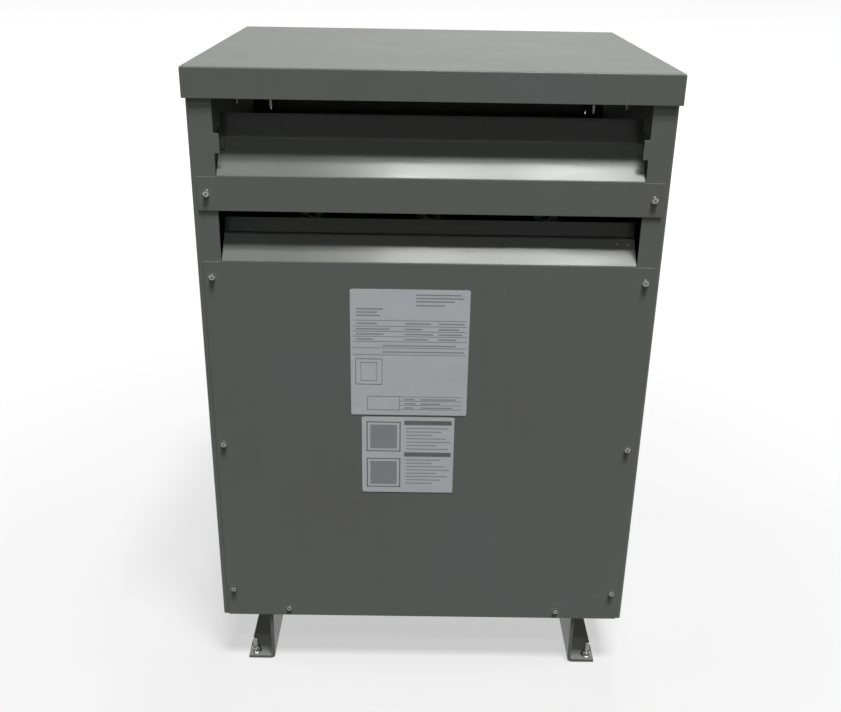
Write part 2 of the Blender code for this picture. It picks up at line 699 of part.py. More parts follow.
def terminals():
    """Insulating board on the upper front clamp, bus bars on it, and a ground lug."""
    board_back = -CLAMP_FACE - CLAMP_DEPTH - GAP
    board_front = board_back - BOARD_THICKNESS
    half = LEG_PITCH + BUS_BAR_WIDTH / 2 + BOARD_MARGIN
    board_low = UPPER_CLAMP_BASE
    place("terminal_board", box((-half, board_front, board_low),
                                (half, board_back, board_low + BOARD_HEIGHT)), BOARD_RED)
    bar_middle = board_front - GAP - BUS_BAR_THICKNESS / 2
    foot = WINDING_TOP + GAP + BUS_BAR_THICKNESS / 2
    top = foot + BUS_BAR_RISE
    for number in (1, 2, 3):
        centre = (number - 2) * LEG_PITCH
        path = [(bar_middle, top), (bar_middle, foot), (bar_middle + BUS_BAR_REACH, foot)]
        outline = folded(path, BUS_BAR_THICKNESS, BUS_BAR_BEND)
        item = place(f"bus_bar_{number}", prism(outline, "X", centre - BUS_BAR_WIDTH / 2,
                                                centre + BUS_BAR_WIDTH / 2), ALUMINIUM)
        openings = []
        for row in (0, 1):
            height = top - BUS_HOLE_DROP - row * BUS_HOLE_SPACING
            openings.append(hole((centre, bar_middle, height), (0, 1, 0), BUS_BOLT_HOLE,
                                 DRILL_DEPTH))
        cut(item, openings)
        smooth(item)
    width, depth, height = LUG_SIZE
    face = -CROSS_RAIL_CENTRE - CROSS_RAIL_WIDTH / 2 - GAP
    low = RAIL_TOP + CROSS_RAIL_HEIGHT / 2 - height / 2
    lug = place("ground_lug", box((LUG_OFFSET, face - depth, low),
                                  (LUG_OFFSET + width, face, low + height)), ALUMINIUM)
    bore = (LUG_OFFSET + width / 2, face - LUG_BORE_DEPTH, low + height / 2)
    cut(lug, [hole(bore, (1, 0, 0), LUG_BORE, 2 * width)])
    smooth(lug)


# Stickers -------------------------------------------------------------------------------

def sticker(name, size):
    """Thin sheet on the face of the front panel."""
    width, height, across, up = size
    back = PANEL_FACE - GAP
    shape = box((across - width / 2, back - STICKER_THICKNESS, FOOT_HEIGHT + up - height / 2),
                (across + width / 2, back, FOOT_HEIGHT + up + height / 2))
    return place(name, shape, STICKER_WHITE)


def main():
    """Build every piece, then group the ones that come off together."""
    clear_scene()
    side_panel("side_panel_left", -1)
    side_panel("side_panel_right", 1)
    header("header_front", 0.0)
    header("header_rear", math.pi)
    header_screws()
    base()
    anchors()
    core_and_coils()
    terminals()

    panel_screws = both_sides(panel_screw_places())
    bar_screws = both_sides(side_screws([BAR_SCREW_HEIGHT]))
    panel = face_panel("front_panel", panel_screws)
    bar = vent_bar("front_vent_bar", bar_screws)
    rear = face_panel("rear_panel", panel_screws, math.pi)
    rear_bar = vent_bar("rear_vent_bar", bar_screws, math.pi)
    cover = top_cover()
    rating = sticker("rating_sticker", RATING_STICKER)
    safety = sticker("safety_sticker", SAFETY_STICKER)

    panel_middle = FOOT_HEIGHT + PANEL_HEIGHT / 2
    bar_middle = FOOT_HEIGHT + BAR_BOTTOM + BAR_HEIGHT / 2
    slide_group("front_panel_slide", (0.0, FRONT, panel_middle),
                [panel, rating, safety, *face_screws("panel_screw", panel_screws)])
    slide_group("front_vent_bar_slide", (0.0, FRONT, bar_middle),
                [bar, *face_screws("bar_screw", bar_screws)])
    slide_group("rear_panel_slide", (0.0, -FRONT, panel_middle), [rear])
    slide_group("rear_vent_bar_slide", (0.0, -FRONT, bar_middle), [rear_bar])
    slide_group("top_cover_lift", (0.0, 0.0, TOP), [cover])


main()
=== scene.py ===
"""Studio scene of a ventilated dry-type distribution transformer in a floor-standing enclosure.

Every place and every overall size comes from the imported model. This script gives the sheet
metal its rolled edges, builds the fasteners, the windings and the labels in detail, adds the
hardware inside, and paints each piece with its own finish. Units are metres, +Z is up and the
front of the enclosure faces -Y.
"""
import logging
import math
from dataclasses import dataclass
from enum import Enum
from typing import Callable, Iterable, Sequence

import bmesh
import bpy
from bpy.types import Material, Mesh, NodeSocket, Object
from mathutils import Matrix, Vector


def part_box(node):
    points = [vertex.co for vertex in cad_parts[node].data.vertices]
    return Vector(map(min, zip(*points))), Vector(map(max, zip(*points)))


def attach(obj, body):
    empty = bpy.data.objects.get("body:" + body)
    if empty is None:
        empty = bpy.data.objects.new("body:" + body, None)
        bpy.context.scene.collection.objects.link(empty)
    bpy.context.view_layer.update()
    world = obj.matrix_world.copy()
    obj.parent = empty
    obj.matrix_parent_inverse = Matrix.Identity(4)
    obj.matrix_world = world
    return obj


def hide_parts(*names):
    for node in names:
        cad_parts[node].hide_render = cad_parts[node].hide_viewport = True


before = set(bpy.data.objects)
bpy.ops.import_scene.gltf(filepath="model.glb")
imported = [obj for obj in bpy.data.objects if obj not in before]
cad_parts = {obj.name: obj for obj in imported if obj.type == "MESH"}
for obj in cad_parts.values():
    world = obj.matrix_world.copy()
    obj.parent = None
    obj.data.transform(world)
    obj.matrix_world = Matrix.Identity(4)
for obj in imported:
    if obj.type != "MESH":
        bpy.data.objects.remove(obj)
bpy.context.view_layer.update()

LOG = logging.getLogger("transformer")
Colour = tuple[float, float, float]
Point = tuple[float, float]
Point3 = tuple[float, float, float]


class Slot(Enum):
    """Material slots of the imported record."""

    PAINT = "grey_paint"
    ZINC = "zinc"
    RUBBER = "rubber"
    STEEL = "core_steel"
    PAPER = "winding_paper"
    VARNISH = "varnished_winding"
    BOARD = "terminal_board"
    ALUMINIUM = "aluminium"
    STICKER = "sticker"


class Body(Enum):
    """Groups of pieces that move together."""

    ENCLOSURE = "enclosure"
    FRONT_PANEL = "front_cover_panel"
    FRONT_VENT = "front_vent"
    REAR_PANEL = "rear_cover_panel"
    REAR_VENT = "rear_vent"
    COVER = "cover"


# Node recipes ---------------------------------------------------------------------------

class Recipe:
    """Node tree of one material, put together step by step."""

    WAVE_TURN = 20.0  # radians that the wave node turns through in a metre at a scale of 1
    MIX_COLOURS = (6, 7)  # colour inputs of the mix node
    MIX_RESULT = 2  # colour output of the mix node

    def __init__(self, name: str) -> None:
        """Start a material with an empty Principled shader.

        Args:
            name: Name of the material.
        """
        self.material = bpy.data.materials.new(name)
        self.material.use_nodes = True
        self.tree = self.material.node_tree
        self.shader = self.tree.nodes["Principled BSDF"]
        self.place = self.tree.nodes.new("ShaderNodeTexCoord").outputs["Object"]

    def node(self, kind: str, links: dict[str | int, NodeSocket] | None = None,
             values: dict[str | int, object] | None = None,
             **settings: object) -> bpy.types.Node:
        """Add a node.

        Args:
            kind: Blender's name of the node type.
            links: Sockets to plug into the node's inputs, by input name or number.
            values: Fixed values of the node's inputs, by input name or number.
            settings: Attributes of the node itself.

        Returns:
            The new node.
        """
        made = self.tree.nodes.new(kind)
        for name, setting in settings.items():
            setattr(made, name, setting)
        for name, value in (values or {}).items():
            made.inputs[name].default_value = value
        for name, socket in (links or {}).items():
            self.tree.links.new(socket, made.inputs[name])
        return made

    def stretched(self, factors: Point3, turn: Point3 = (0.0, 0.0, 0.0)) -> NodeSocket:
        """Object coordinates, turned and then multiplied by one factor on each axis."""
        return self.node("ShaderNodeMapping", {"Vector": self.place},
                         {"Scale": factors, "Rotation": turn}).outputs["Vector"]

    def noise(self, scale: float, detail: float = 2.0, place: NodeSocket | None = None,
              distortion: float = 0.0) -> NodeSocket:
        """Cloudy pattern from 0 to 1, with a number of cells per metre."""
        return self.node("ShaderNodeTexNoise", {"Vector": place or self.place},
                         {"Scale": scale, "Detail": detail, "Distortion": distortion}).outputs[0]

    def cells(self, scale: float) -> NodeSocket:
        """Voronoi cells, each of one random colour, with a number of them per metre."""
        return self.node("ShaderNodeTexVoronoi", {"Vector": self.place},
                         {"Scale": scale}).outputs["Color"]

    def bands(self, axis: str, per_metre: float, distortion: float = 0.0) -> NodeSocket:
        """Straight bands across an axis, as a sine wave.

        Args:
            axis: Axis that the bands lie across.
            per_metre: Number of bands in a metre.
            distortion: How far they waver.

        Returns:
            Pattern from 0 to 1.
        """
        scale = per_metre * math.tau / self.WAVE_TURN
        return self.node("ShaderNodeTexWave", {"Vector": self.place},
                         {"Scale": scale, "Distortion": distortion, "Detail Scale": 2.0},
                         wave_type="BANDS", bands_direction=axis).outputs["Fac"]

    def span(self, source: NodeSocket, low: float, high: float,
             start: float = 0.25, stop: float = 0.75) -> NodeSocket:
        """Map a pattern between two of its values onto a range.

        Args:
            source: Pattern to map.
            low: Result at start and below.
            high: Result at stop and above.
            start: Value of the pattern that gives low.
            stop: Value of the pattern that gives high.

        Returns:
            The mapped value.
        """
        return self.node("ShaderNodeMapRange", {"Value": source},
                         {"From Min": start, "From Max": stop, "To Min": low,
                          "To Max": high}).outputs[0]

    def maths(self, operation: str, first: NodeSocket, second: NodeSocket | float) -> NodeSocket:
        """One arithmetic step on a value.

        Args:
            operation: Blender's name of the operation.
            first: First value.
            second: Second value, fixed or from a socket.

        Returns:
            The result.
        """
        made = self.node("ShaderNodeMath", operation=operation)
        self.tree.links.new(first, made.inputs[0])
        if isinstance(second, float):
            made.inputs[1].default_value = second
        else:
            self.tree.links.new(second, made.inputs[1])
        return made.outputs[0]

    def product(self, *factors: NodeSocket) -> NodeSocket:
        """Multiply several values.

        Args:
            factors: The values.

        Returns:
            Their product.
        """
        result = factors[0]
        for factor in factors[1:]:
            result = self.maths("MULTIPLY", result, factor)
        return result

    def mixed(self, factor: NodeSocket, first: Colour | NodeSocket,
              second: Colour | NodeSocket) -> NodeSocket:
        """Blend two colours, each a fixed one or a socket.

        Args:
            factor: Share of the second colour.
            first: First colour.
            second: Second colour.

        Returns:
            The blend.
        """
        made = self.node("ShaderNodeMix", data_type="RGBA")
        self.tree.links.new(factor, made.inputs[0])
        for index, colour in zip(self.MIX_COLOURS, (first, second)):
            if isinstance(colour, tuple):
                made.inputs[index].default_value = (*colour, 1.0)
            else:
                self.tree.links.new(colour, made.inputs[index])
        return made.outputs[self.MIX_RESULT]

    def shaded(self, colour: Colour | NodeSocket, strength: NodeSocket) -> NodeSocket:
        """Brighten or darken a colour by a factor.

        Args:
            colour: The colour, fixed or from a socket.
            strength: The factor.

        Returns:
            The shaded colour.
        """
        made = self.node("ShaderNodeVectorMath", {"Scale": strength}, operation="SCALE")
        if isinstance(colour, tuple):
            made.inputs[0].default_value = colour
        else:
            self.tree.links.new(colour, made.inputs[0])
        return made.outputs[0]

    def relief(self, height: NodeSocket, distance: float,
               under: NodeSocket | None = None) -> NodeSocket:
        """Surface relief from a pattern.

        Args:
            height: Pattern from 0 to 1.
            distance: Depth of the relief, in metres.
            under: Relief that this one lies on.

        Returns:
            The bent surface normal.
        """
        links = {"Height": height}
        if under is not None:
            links["Normal"] = under
        return self.node("ShaderNodeBump", links, {"Distance": distance}).outputs["Normal"]

    def upward(self) -> NodeSocket:
        """How far a face looks up: 1 on a level top, 0 or less on a wall or an underside."""
        normal = self.node("ShaderNodeNewGeometry").outputs["Normal"]
        return self.node("ShaderNodeSeparateXYZ", {"Vector": normal}).outputs["Z"]

    def height(self) -> NodeSocket:
        """Height of a place on the piece."""
        return self.node("ShaderNodeSeparateXYZ", {"Vector": self.place}).outputs["Z"]

    def faces_in(self, centre: Point3, above: float) -> NodeSocket:
        """Which faces look into a casing.

        Args:
            centre: Middle of the casing.
            above: Height from which the casing is closed round.

        Returns:
            1 on its inner faces and 0 on its outer faces and below it.
        """
        normal = self.node("ShaderNodeNewGeometry").outputs["Normal"]
        out = self.node("ShaderNodeVectorMath", {0: self.place}, {1: centre},
                        operation="SUBTRACT").outputs["Vector"]
        away = self.node("ShaderNodeVectorMath", {0: out, 1: normal},
                         operation="DOT_PRODUCT").outputs["Value"]
        return self.product(self.span(away, 1.0, 0.0, -0.02, 0.0),
                            self.span(self.height(), 0.0, 1.0, above - 0.001, above))

    def off_axis(self) -> NodeSocket:
        """Distance from the piece's own Z axis.

        Returns:
            The distance, in metres.
        """
        parts = self.node("ShaderNodeSeparateXYZ", {"Vector": self.place}).outputs
        flat = self.node("ShaderNodeCombineXYZ", {"X": parts["X"], "Y": parts["Y"]})
        return self.node("ShaderNodeVectorMath", {"Vector": flat.outputs["Vector"]},
                         operation="LENGTH").outputs["Value"]

    def finish(self, colour: NodeSocket, roughness: NodeSocket, normal: NodeSocket,
               metallic: float = 0.0, specular: float = 0.5) -> Material:
        """Plug the patterns into the shader.

        Args:
            colour: Base colour.
            roughness: Roughness.
            normal: Surface normal with its relief.
            metallic: 1 for a bare metal.
            specular: Strength of the gloss on a surface that isn't metal.

        Returns:
            The finished material.
        """
        for name, socket in (("Base Color", colour), ("Roughness", roughness),
                             ("Normal", normal)):
            self.tree.links.new(socket, self.shader.inputs[name])
        self.shader.inputs["Metallic"].default_value = metallic
        self.shader.inputs["Specular IOR Level"].default_value = specular
        return self.material


# Finishes -------------------------------------------------------------------------------

@dataclass(frozen=True)
class Finish:
    """A surface finish that belongs to one slot of the record."""

    name: str
    slot: Slot

    def material(self) -> Material:
        """The finish's material, made the first time that it is asked for."""
        return bpy.data.materials.get(self.name) or self.mix(Recipe(self.name))

    def mix(self, recipe: Recipe) -> Material:
        """Write the finish into an empty recipe."""
        raise NotImplementedError


@dataclass(frozen=True)
class SatinPaint(Finish):
    """Baked enamel on steel: satin gloss, faint orange peel, matt with dust on top.

    Toward the floor the colour is brightened, which is painted light. Inside the casing it is
    darkened, which is painted shade, and the coat is dull.
    """

    colour: Colour = (0.210, 0.222, 0.206)
    tint: float = 0.03
    roughness: float = 0.165
    gloss: float = 0.125
    # painted light: factor on the colour low down, between the two heights below
    painted_light_low: float = 1.13
    painted_light_bottom: float = 0.15
    painted_light_top: float = 0.85
    dull_top: float = 0.56
    # painted shade: factor on the colour of faces inside the casing
    inner_painted_shade: float = 0.32
    inner_dull: float = 0.35
    casing_middle: Point3 = (0.0, 0.0, 0.58)
    casing_bottom: float = 0.106
    cloud_scale: float = 3.3
    speck_scale: float = 1500.0
    peel_scale: float = 420.0
    peel_depth: float = 0.00003
    wave_scale: float = 2.4
    wave_depth: float = 0.0012
    dust: Colour = (0.214, 0.215, 0.207)

    def mix(self, recipe: Recipe) -> Material:
        """Cloudy tone, run marks and specks in the colour, dust where a face looks up.

        Args:
            recipe: Empty recipe of the finish.

        Returns:
            The finished material.
        """
        cloud = recipe.noise(self.cloud_scale, 3.0, distortion=0.6)
        runs = recipe.noise(1.0, 4.0, recipe.stretched((55.0, 55.0, 3.0)))
        specks = recipe.noise(self.speck_scale, 1.0)
        rubs = recipe.noise(1.0, 5.0, recipe.stretched((9.0, 9.0, 60.0), (0.0, 0.35, 0.0)))
        shifts = (1.0 + self.tint, 1.0, 1.0 - self.tint)
        warm = tuple(value * shift for value, shift in zip(self.colour, shifts))
        cool = tuple(value * shift for value, shift in zip(self.colour, shifts[::-1]))
        colour = recipe.mixed(recipe.span(cloud, 0.0, 1.0, 0.3, 0.7), warm, cool)
        tone = recipe.product(recipe.span(cloud, 0.965, 1.035), recipe.span(runs, 0.985, 1.015),
                              recipe.span(specks, 0.975, 1.025), recipe.span(rubs, 0.99, 1.012))
        # Faces inside the casing get painted shade in their colour, and a duller coat.
        inner = recipe.faces_in(self.casing_middle, self.casing_bottom)
        # Painted light brightens the colour toward the floor.
        tone = recipe.product(tone, recipe.span(inner, 1.0, self.inner_painted_shade, 0.0, 1.0),
                              recipe.span(recipe.height(), self.painted_light_low, 1.0, self.painted_light_bottom,
                                          self.painted_light_top))
        colour = recipe.shaded(colour, tone)
        level = recipe.span(recipe.upward(), 0.0, 1.0, 0.75, 1.0)
        settled = recipe.span(recipe.noise(5.0, 3.0), 0.35, 0.65, 0.3, 0.7)
        colour = recipe.mixed(recipe.product(level, settled), colour, self.dust)
        rough = recipe.span(rubs, self.roughness - 0.03, self.roughness + 0.05)
        for where, more in ((level, self.dull_top), (inner, self.inner_dull)):
            rough = recipe.maths("ADD", rough, recipe.maths("MULTIPLY", where, more))
        waves = recipe.relief(recipe.noise(self.wave_scale, 1.0), self.wave_depth)
        peel = recipe.relief(recipe.noise(self.peel_scale, 1.0), self.peel_depth, waves)
        return recipe.finish(colour, rough, peel, specular=self.gloss)


@dataclass(frozen=True)
class PlatedSteel(Finish):
    """Zinc plating: fine crystals, small scratches and duller patches.

    On a screw, painted shade darkens the dimple and the corner between its washer and its head.
    """

    colour: Colour = (0.33, 0.33, 0.32)
    dull: Colour = (0.19, 0.19, 0.18)
    roughness: float = 0.27
    crystal_scale: float = 2600.0
    dimple: float = 0.0
    seat: float = 0.0
    seat_width: float = 0.0007
    # painted shade: colour put in a screw's dimple and seat corner
    hollow_shade: Colour = (0.045, 0.045, 0.040)

    def shade_hollows(self, recipe: Recipe, colour: NodeSocket) -> NodeSocket:
        """Paint shade into the dimple and the seat corner of a screw head.

        Args:
            recipe: Recipe of the finish.
            colour: Colour without the painted shade.

        Returns:
            The colour with painted shade in its hollows.
        """
        away = recipe.off_axis()
        in_dimple = recipe.span(away, 0.85, 0.0, self.dimple * 0.8, self.dimple)
        off_seat = recipe.maths("ABSOLUTE", recipe.maths("SUBTRACT", away, self.seat), 0.0)
        at_seat = recipe.span(off_seat, 0.8, 0.0, self.seat_width / 2, self.seat_width)
        shade_patches = recipe.span(recipe.noise(900.0, 2.0), 0.7, 1.0, 0.35, 0.6)
        shaded_share = recipe.product(recipe.maths("MAXIMUM", in_dimple, at_seat), shade_patches)
        return recipe.mixed(shaded_share, colour, self.hollow_shade)

    def mix(self, recipe: Recipe) -> Material:
        """Crystals and patches in the colour, scratches in the relief.

        Args:
            recipe: Empty recipe of the finish.

        Returns:
            The finished material.
        """
        patches = recipe.noise(260.0, 4.0)
        crystals = recipe.node("ShaderNodeSeparateColor",
                               {"Color": recipe.cells(self.crystal_scale)}).outputs[0]
        colour = recipe.mixed(recipe.span(patches, 0.0, 1.0, 0.42, 0.72), self.colour, self.dull)
        colour = recipe.shaded(colour, recipe.span(crystals, 0.93, 1.05, 0.0, 1.0))
        # Painted shade in the screw's dimple and in the corner at its seat.
        if self.dimple:
            colour = self.shade_hollows(recipe, colour)
        scratches = recipe.noise(1.0, 3.0, recipe.stretched((900.0, 7000.0, 900.0)))
        rough = recipe.span(patches, self.roughness - 0.05, self.roughness + 0.14)
        return recipe.finish(colour, rough, recipe.relief(scratches, 0.00001), metallic=1.0)


@dataclass(frozen=True)
class MouldedRubber(Finish):
    """Dark rubber with a matt, lightly dusted skin."""

    colour: Colour = (0.020, 0.020, 0.021)
    worn: Colour = (0.055, 0.054, 0.052)

    def mix(self, recipe: Recipe) -> Material:
        """Grain in the relief, paler where it is rubbed.

        Args:
            recipe: Empty recipe of the finish.

        Returns:
            The finished material.
        """
        grain = recipe.noise(900.0, 3.0)
        colour = recipe.mixed(recipe.span(recipe.noise(60.0, 4.0), 0.0, 1.0), self.colour,
                              self.worn)
        return recipe.finish(colour, recipe.span(grain, 0.72, 0.9),
                             recipe.relief(grain, 0.00012), specular=0.3)


@dataclass(frozen=True)
class StackedSteel(Finish):
    """Edges of core laminations under a thin coat of varnish."""

    colour: Colour = (0.085, 0.090, 0.105)
    varnish: Colour = (0.125, 0.085, 0.045)
    sheets_per_metre: float = 2228.17

    def mix(self, recipe: Recipe) -> Material:
        """Fine bands across the stack, with brown varnish that has run between them.

        Args:
            recipe: Empty recipe of the finish.

        Returns:
            The finished material.
        """
        sheets = recipe.bands("Y", self.sheets_per_metre)
        uneven = recipe.noise(1.0, 2.0, recipe.stretched((1.5, 900.0, 1.5)))
        runs = recipe.noise(28.0, 5.0, distortion=1.0)
        colour = recipe.mixed(recipe.span(runs, 0.0, 0.8, 0.4, 0.7), self.colour, self.varnish)
        tone = recipe.product(recipe.span(sheets, 0.6, 1.2, 0.0, 1.0),
                              recipe.span(uneven, 0.7, 1.3))
        edge = recipe.relief(sheets, 0.0003)
        edge = recipe.relief(uneven, 0.0006, edge)
        return recipe.finish(recipe.shaded(colour, tone), recipe.span(runs, 0.5, 0.28), edge,
                             metallic=0.35)


@dataclass(frozen=True)
class WrappedPaper(Finish):
    """Aramid paper wrapped in overlapping turns and soaked in varnish."""

    colour: Colour = (0.50, 0.33, 0.155)
    dark: Colour = (0.34, 0.20, 0.08)
    wraps_per_metre: float = 40.0

    def mix(self, recipe: Recipe) -> Material:
        """Steps where the wraps overlap, fibres and soaked patches.

        Args:
            recipe: Empty recipe of the finish.

        Returns:
            The finished material.
        """
        wraps = recipe.bands("Z", self.wraps_per_metre, 0.6)
        fibres = recipe.noise(1.0, 5.0, recipe.stretched((160.0, 160.0, 900.0)))
        soak = recipe.noise(18.0, 5.0, distortion=0.8)
        colour = recipe.mixed(recipe.span(soak, 0.0, 1.0, 0.35, 0.7), self.colour, self.dark)
        tone = recipe.product(recipe.span(fibres, 0.9, 1.08), recipe.span(wraps, 0.9, 1.04))
        normal = recipe.relief(fibres, 0.00008, recipe.relief(wraps, 0.0006))
        return recipe.finish(recipe.shaded(colour, tone), recipe.span(soak, 0.62, 0.4), normal)


@dataclass(frozen=True)
class DippedWinding(Finish):
    """Wound conductor dipped in brown varnish, glossy where it has pooled."""

    colour: Colour = (0.20, 0.085, 0.026)
    dark: Colour = (0.070, 0.028, 0.010)

    def mix(self, recipe: Recipe) -> Material:
        """Pools and runs of varnish over the turns.

        Args:
            recipe: Empty recipe of the finish.

        Returns:
            The finished material.
        """
        runs = recipe.noise(1.0, 5.0, recipe.stretched((45.0, 45.0, 11.0)), 0.8)
        grain = recipe.noise(420.0, 3.0)
        colour = recipe.mixed(recipe.span(runs, 0.0, 1.0, 0.35, 0.68), self.colour, self.dark)
        colour = recipe.shaded(colour, recipe.span(grain, 0.88, 1.12))
        normal = recipe.relief(grain, 0.0001, recipe.relief(runs, 0.0009))
        return recipe.finish(colour, recipe.span(runs, 0.22, 0.42), normal)


@dataclass(frozen=True)
class GlassPolyester(Finish):
    """Red glass-filled polyester board with its fibres showing."""

    colour: Colour = (0.33, 0.050, 0.032)
    fibre: Colour = (0.47, 0.13, 0.09)

    def mix(self, recipe: Recipe) -> Material:
        """Crossed fibres in the colour and in the relief.

        Args:
            recipe: Empty recipe of the finish.

        Returns:
            The finished material.
        """
        across = recipe.noise(1.0, 4.0, recipe.stretched((60.0, 60.0, 700.0)), 1.2)
        along = recipe.noise(1.0, 4.0, recipe.stretched((700.0, 60.0, 60.0)), 1.2)
        weave = recipe.maths("MAXIMUM", across, along)
        colour = recipe.mixed(recipe.span(weave, 0.0, 0.7, 0.52, 0.78), self.colour, self.fibre)
        return recipe.finish(colour, recipe.span(weave, 0.36, 0.52),
                             recipe.relief(weave, 0.00008))


@dataclass(frozen=True)
class BrushedAluminium(Finish):
    """Mill-finish aluminium bar, drawn along its length."""

    colour: Colour = (0.40, 0.405, 0.41)
    roughness: float = 0.46

    def mix(self, recipe: Recipe) -> Material:
        """Fine lines along the bar and a few dull spots.

        Args:
            recipe: Empty recipe of the finish.

        Returns:
            The finished material.
        """
        lines = recipe.noise(1.0, 4.0, recipe.stretched((2600.0, 2600.0, 18.0)))
        spots = recipe.noise(70.0, 5.0)
        tone = recipe.product(recipe.span(lines, 0.90, 1.04), recipe.span(spots, 0.88, 1.03))
        return recipe.finish(recipe.shaded(self.colour, tone),
                             recipe.span(lines, self.roughness - 0.06, self.roughness + 0.1),
                             recipe.relief(lines, 0.00003), metallic=1.0)


@dataclass(frozen=True)
class PrintedVinyl(Finish):
    """Face of a label, or the ink on it: matt film with a faint grain."""

    colour: Colour = (0.90, 0.91, 0.95)
    shadow: Colour = (0.84, 0.85, 0.90)
    roughness: float = 0.48

    def mix(self, recipe: Recipe) -> Material:
        """Slight smudges and a film grain.

        Args:
            recipe: Empty recipe of the finish.

        Returns:
            The finished material.
        """
        smudges = recipe.noise(22.0, 5.0, distortion=0.7)
        grain = recipe.noise(2200.0, 1.0)
        colour = recipe.mixed(recipe.span(smudges, 0.0, 1.0, 0.35, 0.75), self.colour,
                              self.shadow)
        colour = recipe.shaded(colour, recipe.span(grain, 0.975, 1.02))
        rough = recipe.span(smudges, self.roughness + 0.06, self.roughness - 0.06)
        creases = recipe.relief(recipe.noise(30.0, 2.0), 0.0003)
        return recipe.finish(colour, rough, recipe.relief(grain, 0.00001, creases),
                             specular=0.35)


PAINT = SatinPaint("satin_grey_paint", Slot.PAINT)
WELD_PAINT = SatinPaint("scorched_grey_paint", Slot.PAINT, (0.43, 0.44, 0.41))
ZINC = PlatedSteel("zinc_plate", Slot.ZINC)
SCREW_ZINC = PlatedSteel("screw_zinc_plate", Slot.ZINC, (0.34, 0.34, 0.33), (0.23, 0.23, 0.22),
                         dimple=0.0026, seat=0.0049)
SHANK_ZINC = PlatedSteel("shank_zinc_plate", Slot.ZINC, (0.20, 0.20, 0.19), (0.10, 0.10, 0.09),
                         0.34)
RUBBER = MouldedRubber("pad_rubber", Slot.RUBBER)
STEEL = StackedSteel("laminated_core_steel", Slot.STEEL)
PAPER = WrappedPaper("aramid_wrap", Slot.PAPER)
VARNISH = DippedWinding("dipped_winding", Slot.VARNISH)
BOARD = GlassPolyester("glass_polyester", Slot.BOARD)
ALUMINIUM = BrushedAluminium("mill_aluminium", Slot.ALUMINIUM)
VINYL = PrintedVinyl("label_vinyl", Slot.STICKER)
INK = PrintedVinyl("label_ink", Slot.STICKER, (0.20, 0.20, 0.22), (0.25, 0.25, 0.27))
PALE_INK = PrintedVinyl("label_pale_ink", Slot.STICKER, (0.41, 0.42, 0.45), (0.46, 0.47, 0.50))


# Mesh tools -----------------------------------------------------------------------------

@dataclass(frozen=True)
class Ring:
    """One level of a turned piece.

    Where flats is given, the ring is a hexagon that wide, trimmed to the radius.
    """

    height: float
    radius: float
    flats: float = 0.0

    def reach(self, angle: float) -> float:
        """Distance from the axis to the ring at an angle.

        Args:
            angle: The angle, in radians.

        Returns:
            The distance.
        """
        if not self.flats:
            return self.radius
        off_flat = (angle + math.pi / 6) % (math.pi / 3) - math.pi / 6
        return min(self.radius, self.flats / 2 / math.cos(off_flat))

    def points(self, steps: int) -> list[Vector]:
        """Points round the ring.

        Args:
            steps: Number of points.

        Returns:
            The points, turning to the left.
        """
        angles = (math.tau * step / steps for step in range(steps))
        return [Vector((self.reach(angle) * math.cos(angle),
                        self.reach(angle) * math.sin(angle), self.height))
                for angle in angles]


def skin(rings: Sequence[Sequence[Vector]], closed: bool = False) -> bmesh.types.BMesh:
    """Join rings of points into one closed surface.

    Args:
        rings: Rings with the same number of points.
        closed: True where the last ring joins the first, False where both get a cap.

    Returns:
        The surface.
    """
    shape = bmesh.new()
    loops = [[shape.verts.new(point) for point in ring] for ring in rings]
    if closed:
        loops.append(loops[0])
    count = len(rings[0])
    for lower, upper in zip(loops, loops[1:]):
        for index in range(count):
            after = (index + 1) % count
            shape.faces.new((lower[index], lower[after], upper[after], upper[index]))
    if not closed:
        shape.faces.new(loops[0][::-1])
        shape.faces.new(loops[-1])
    bmesh.ops.recalc_face_normals(shape, faces=shape.faces)
    return shape


def rounded_outline(half_x: float, half_y: float, radius: float, steps: int) -> list[Point]:
    """Outline of a rectangle with round corners, about its own middle.

    Args:
        half_x: Half of the width.
        half_y: Half of the height.
        radius: Radius of the corners.
        steps: Points on each corner, less one.

    Returns:
        The outline, turning to the left.
    """
    points = []
    for quarter, (sign_x, sign_y) in enumerate(((1, 1), (-1, 1), (-1, -1), (1, -1))):
        for step in range(steps + 1):
            angle = math.pi / 2 * (quarter + step / steps)
            points.append((sign_x * (half_x - radius) + radius * math.cos(angle),
                           sign_y * (half_y - radius) + radius * math.sin(angle)))
    return points


def block(low: Vector, high: Vector, edge: float = 0.0, steps: int = 2) -> bmesh.types.BMesh:
    """A box between two corners, with its edges rounded.

    Args:
        low: Lowest corner.
        high: Highest corner.
        edge: Radius of the edges.
        steps: Segments of each rounded edge.

    Returns:
        The box.
    """
    corners = [(low.x, low.y), (high.x, low.y), (high.x, high.y), (low.x, high.y)]
    shape = skin([[Vector((x, y, height)) for x, y in corners] for height in (low.z, high.z)])
    if edge:
        bmesh.ops.bevel(shape, geom=shape.edges[:], offset=edge, segments=steps, profile=0.5,
                        affect="EDGES", clamp_overlap=True)
    return shape


def gather(shapes: Iterable[bmesh.types.BMesh]) -> bmesh.types.BMesh:
    """Put separate shapes in one.

    Args:
        shapes: The shapes, which are used up.

    Returns:
        The shape that holds them all.
    """
    whole = bmesh.new()
    for shape in shapes:
        part = bpy.data.meshes.new("part")
        shape.to_mesh(part)
        shape.free()
        whole.from_mesh(part)
        bpy.data.meshes.remove(part)
    return whole


def facing(direction: Vector) -> Matrix:
    """Turn that brings +Z to a direction."""
    return Vector((0.0, 0.0, 1.0)).rotation_difference(direction).to_matrix().to_4x4()


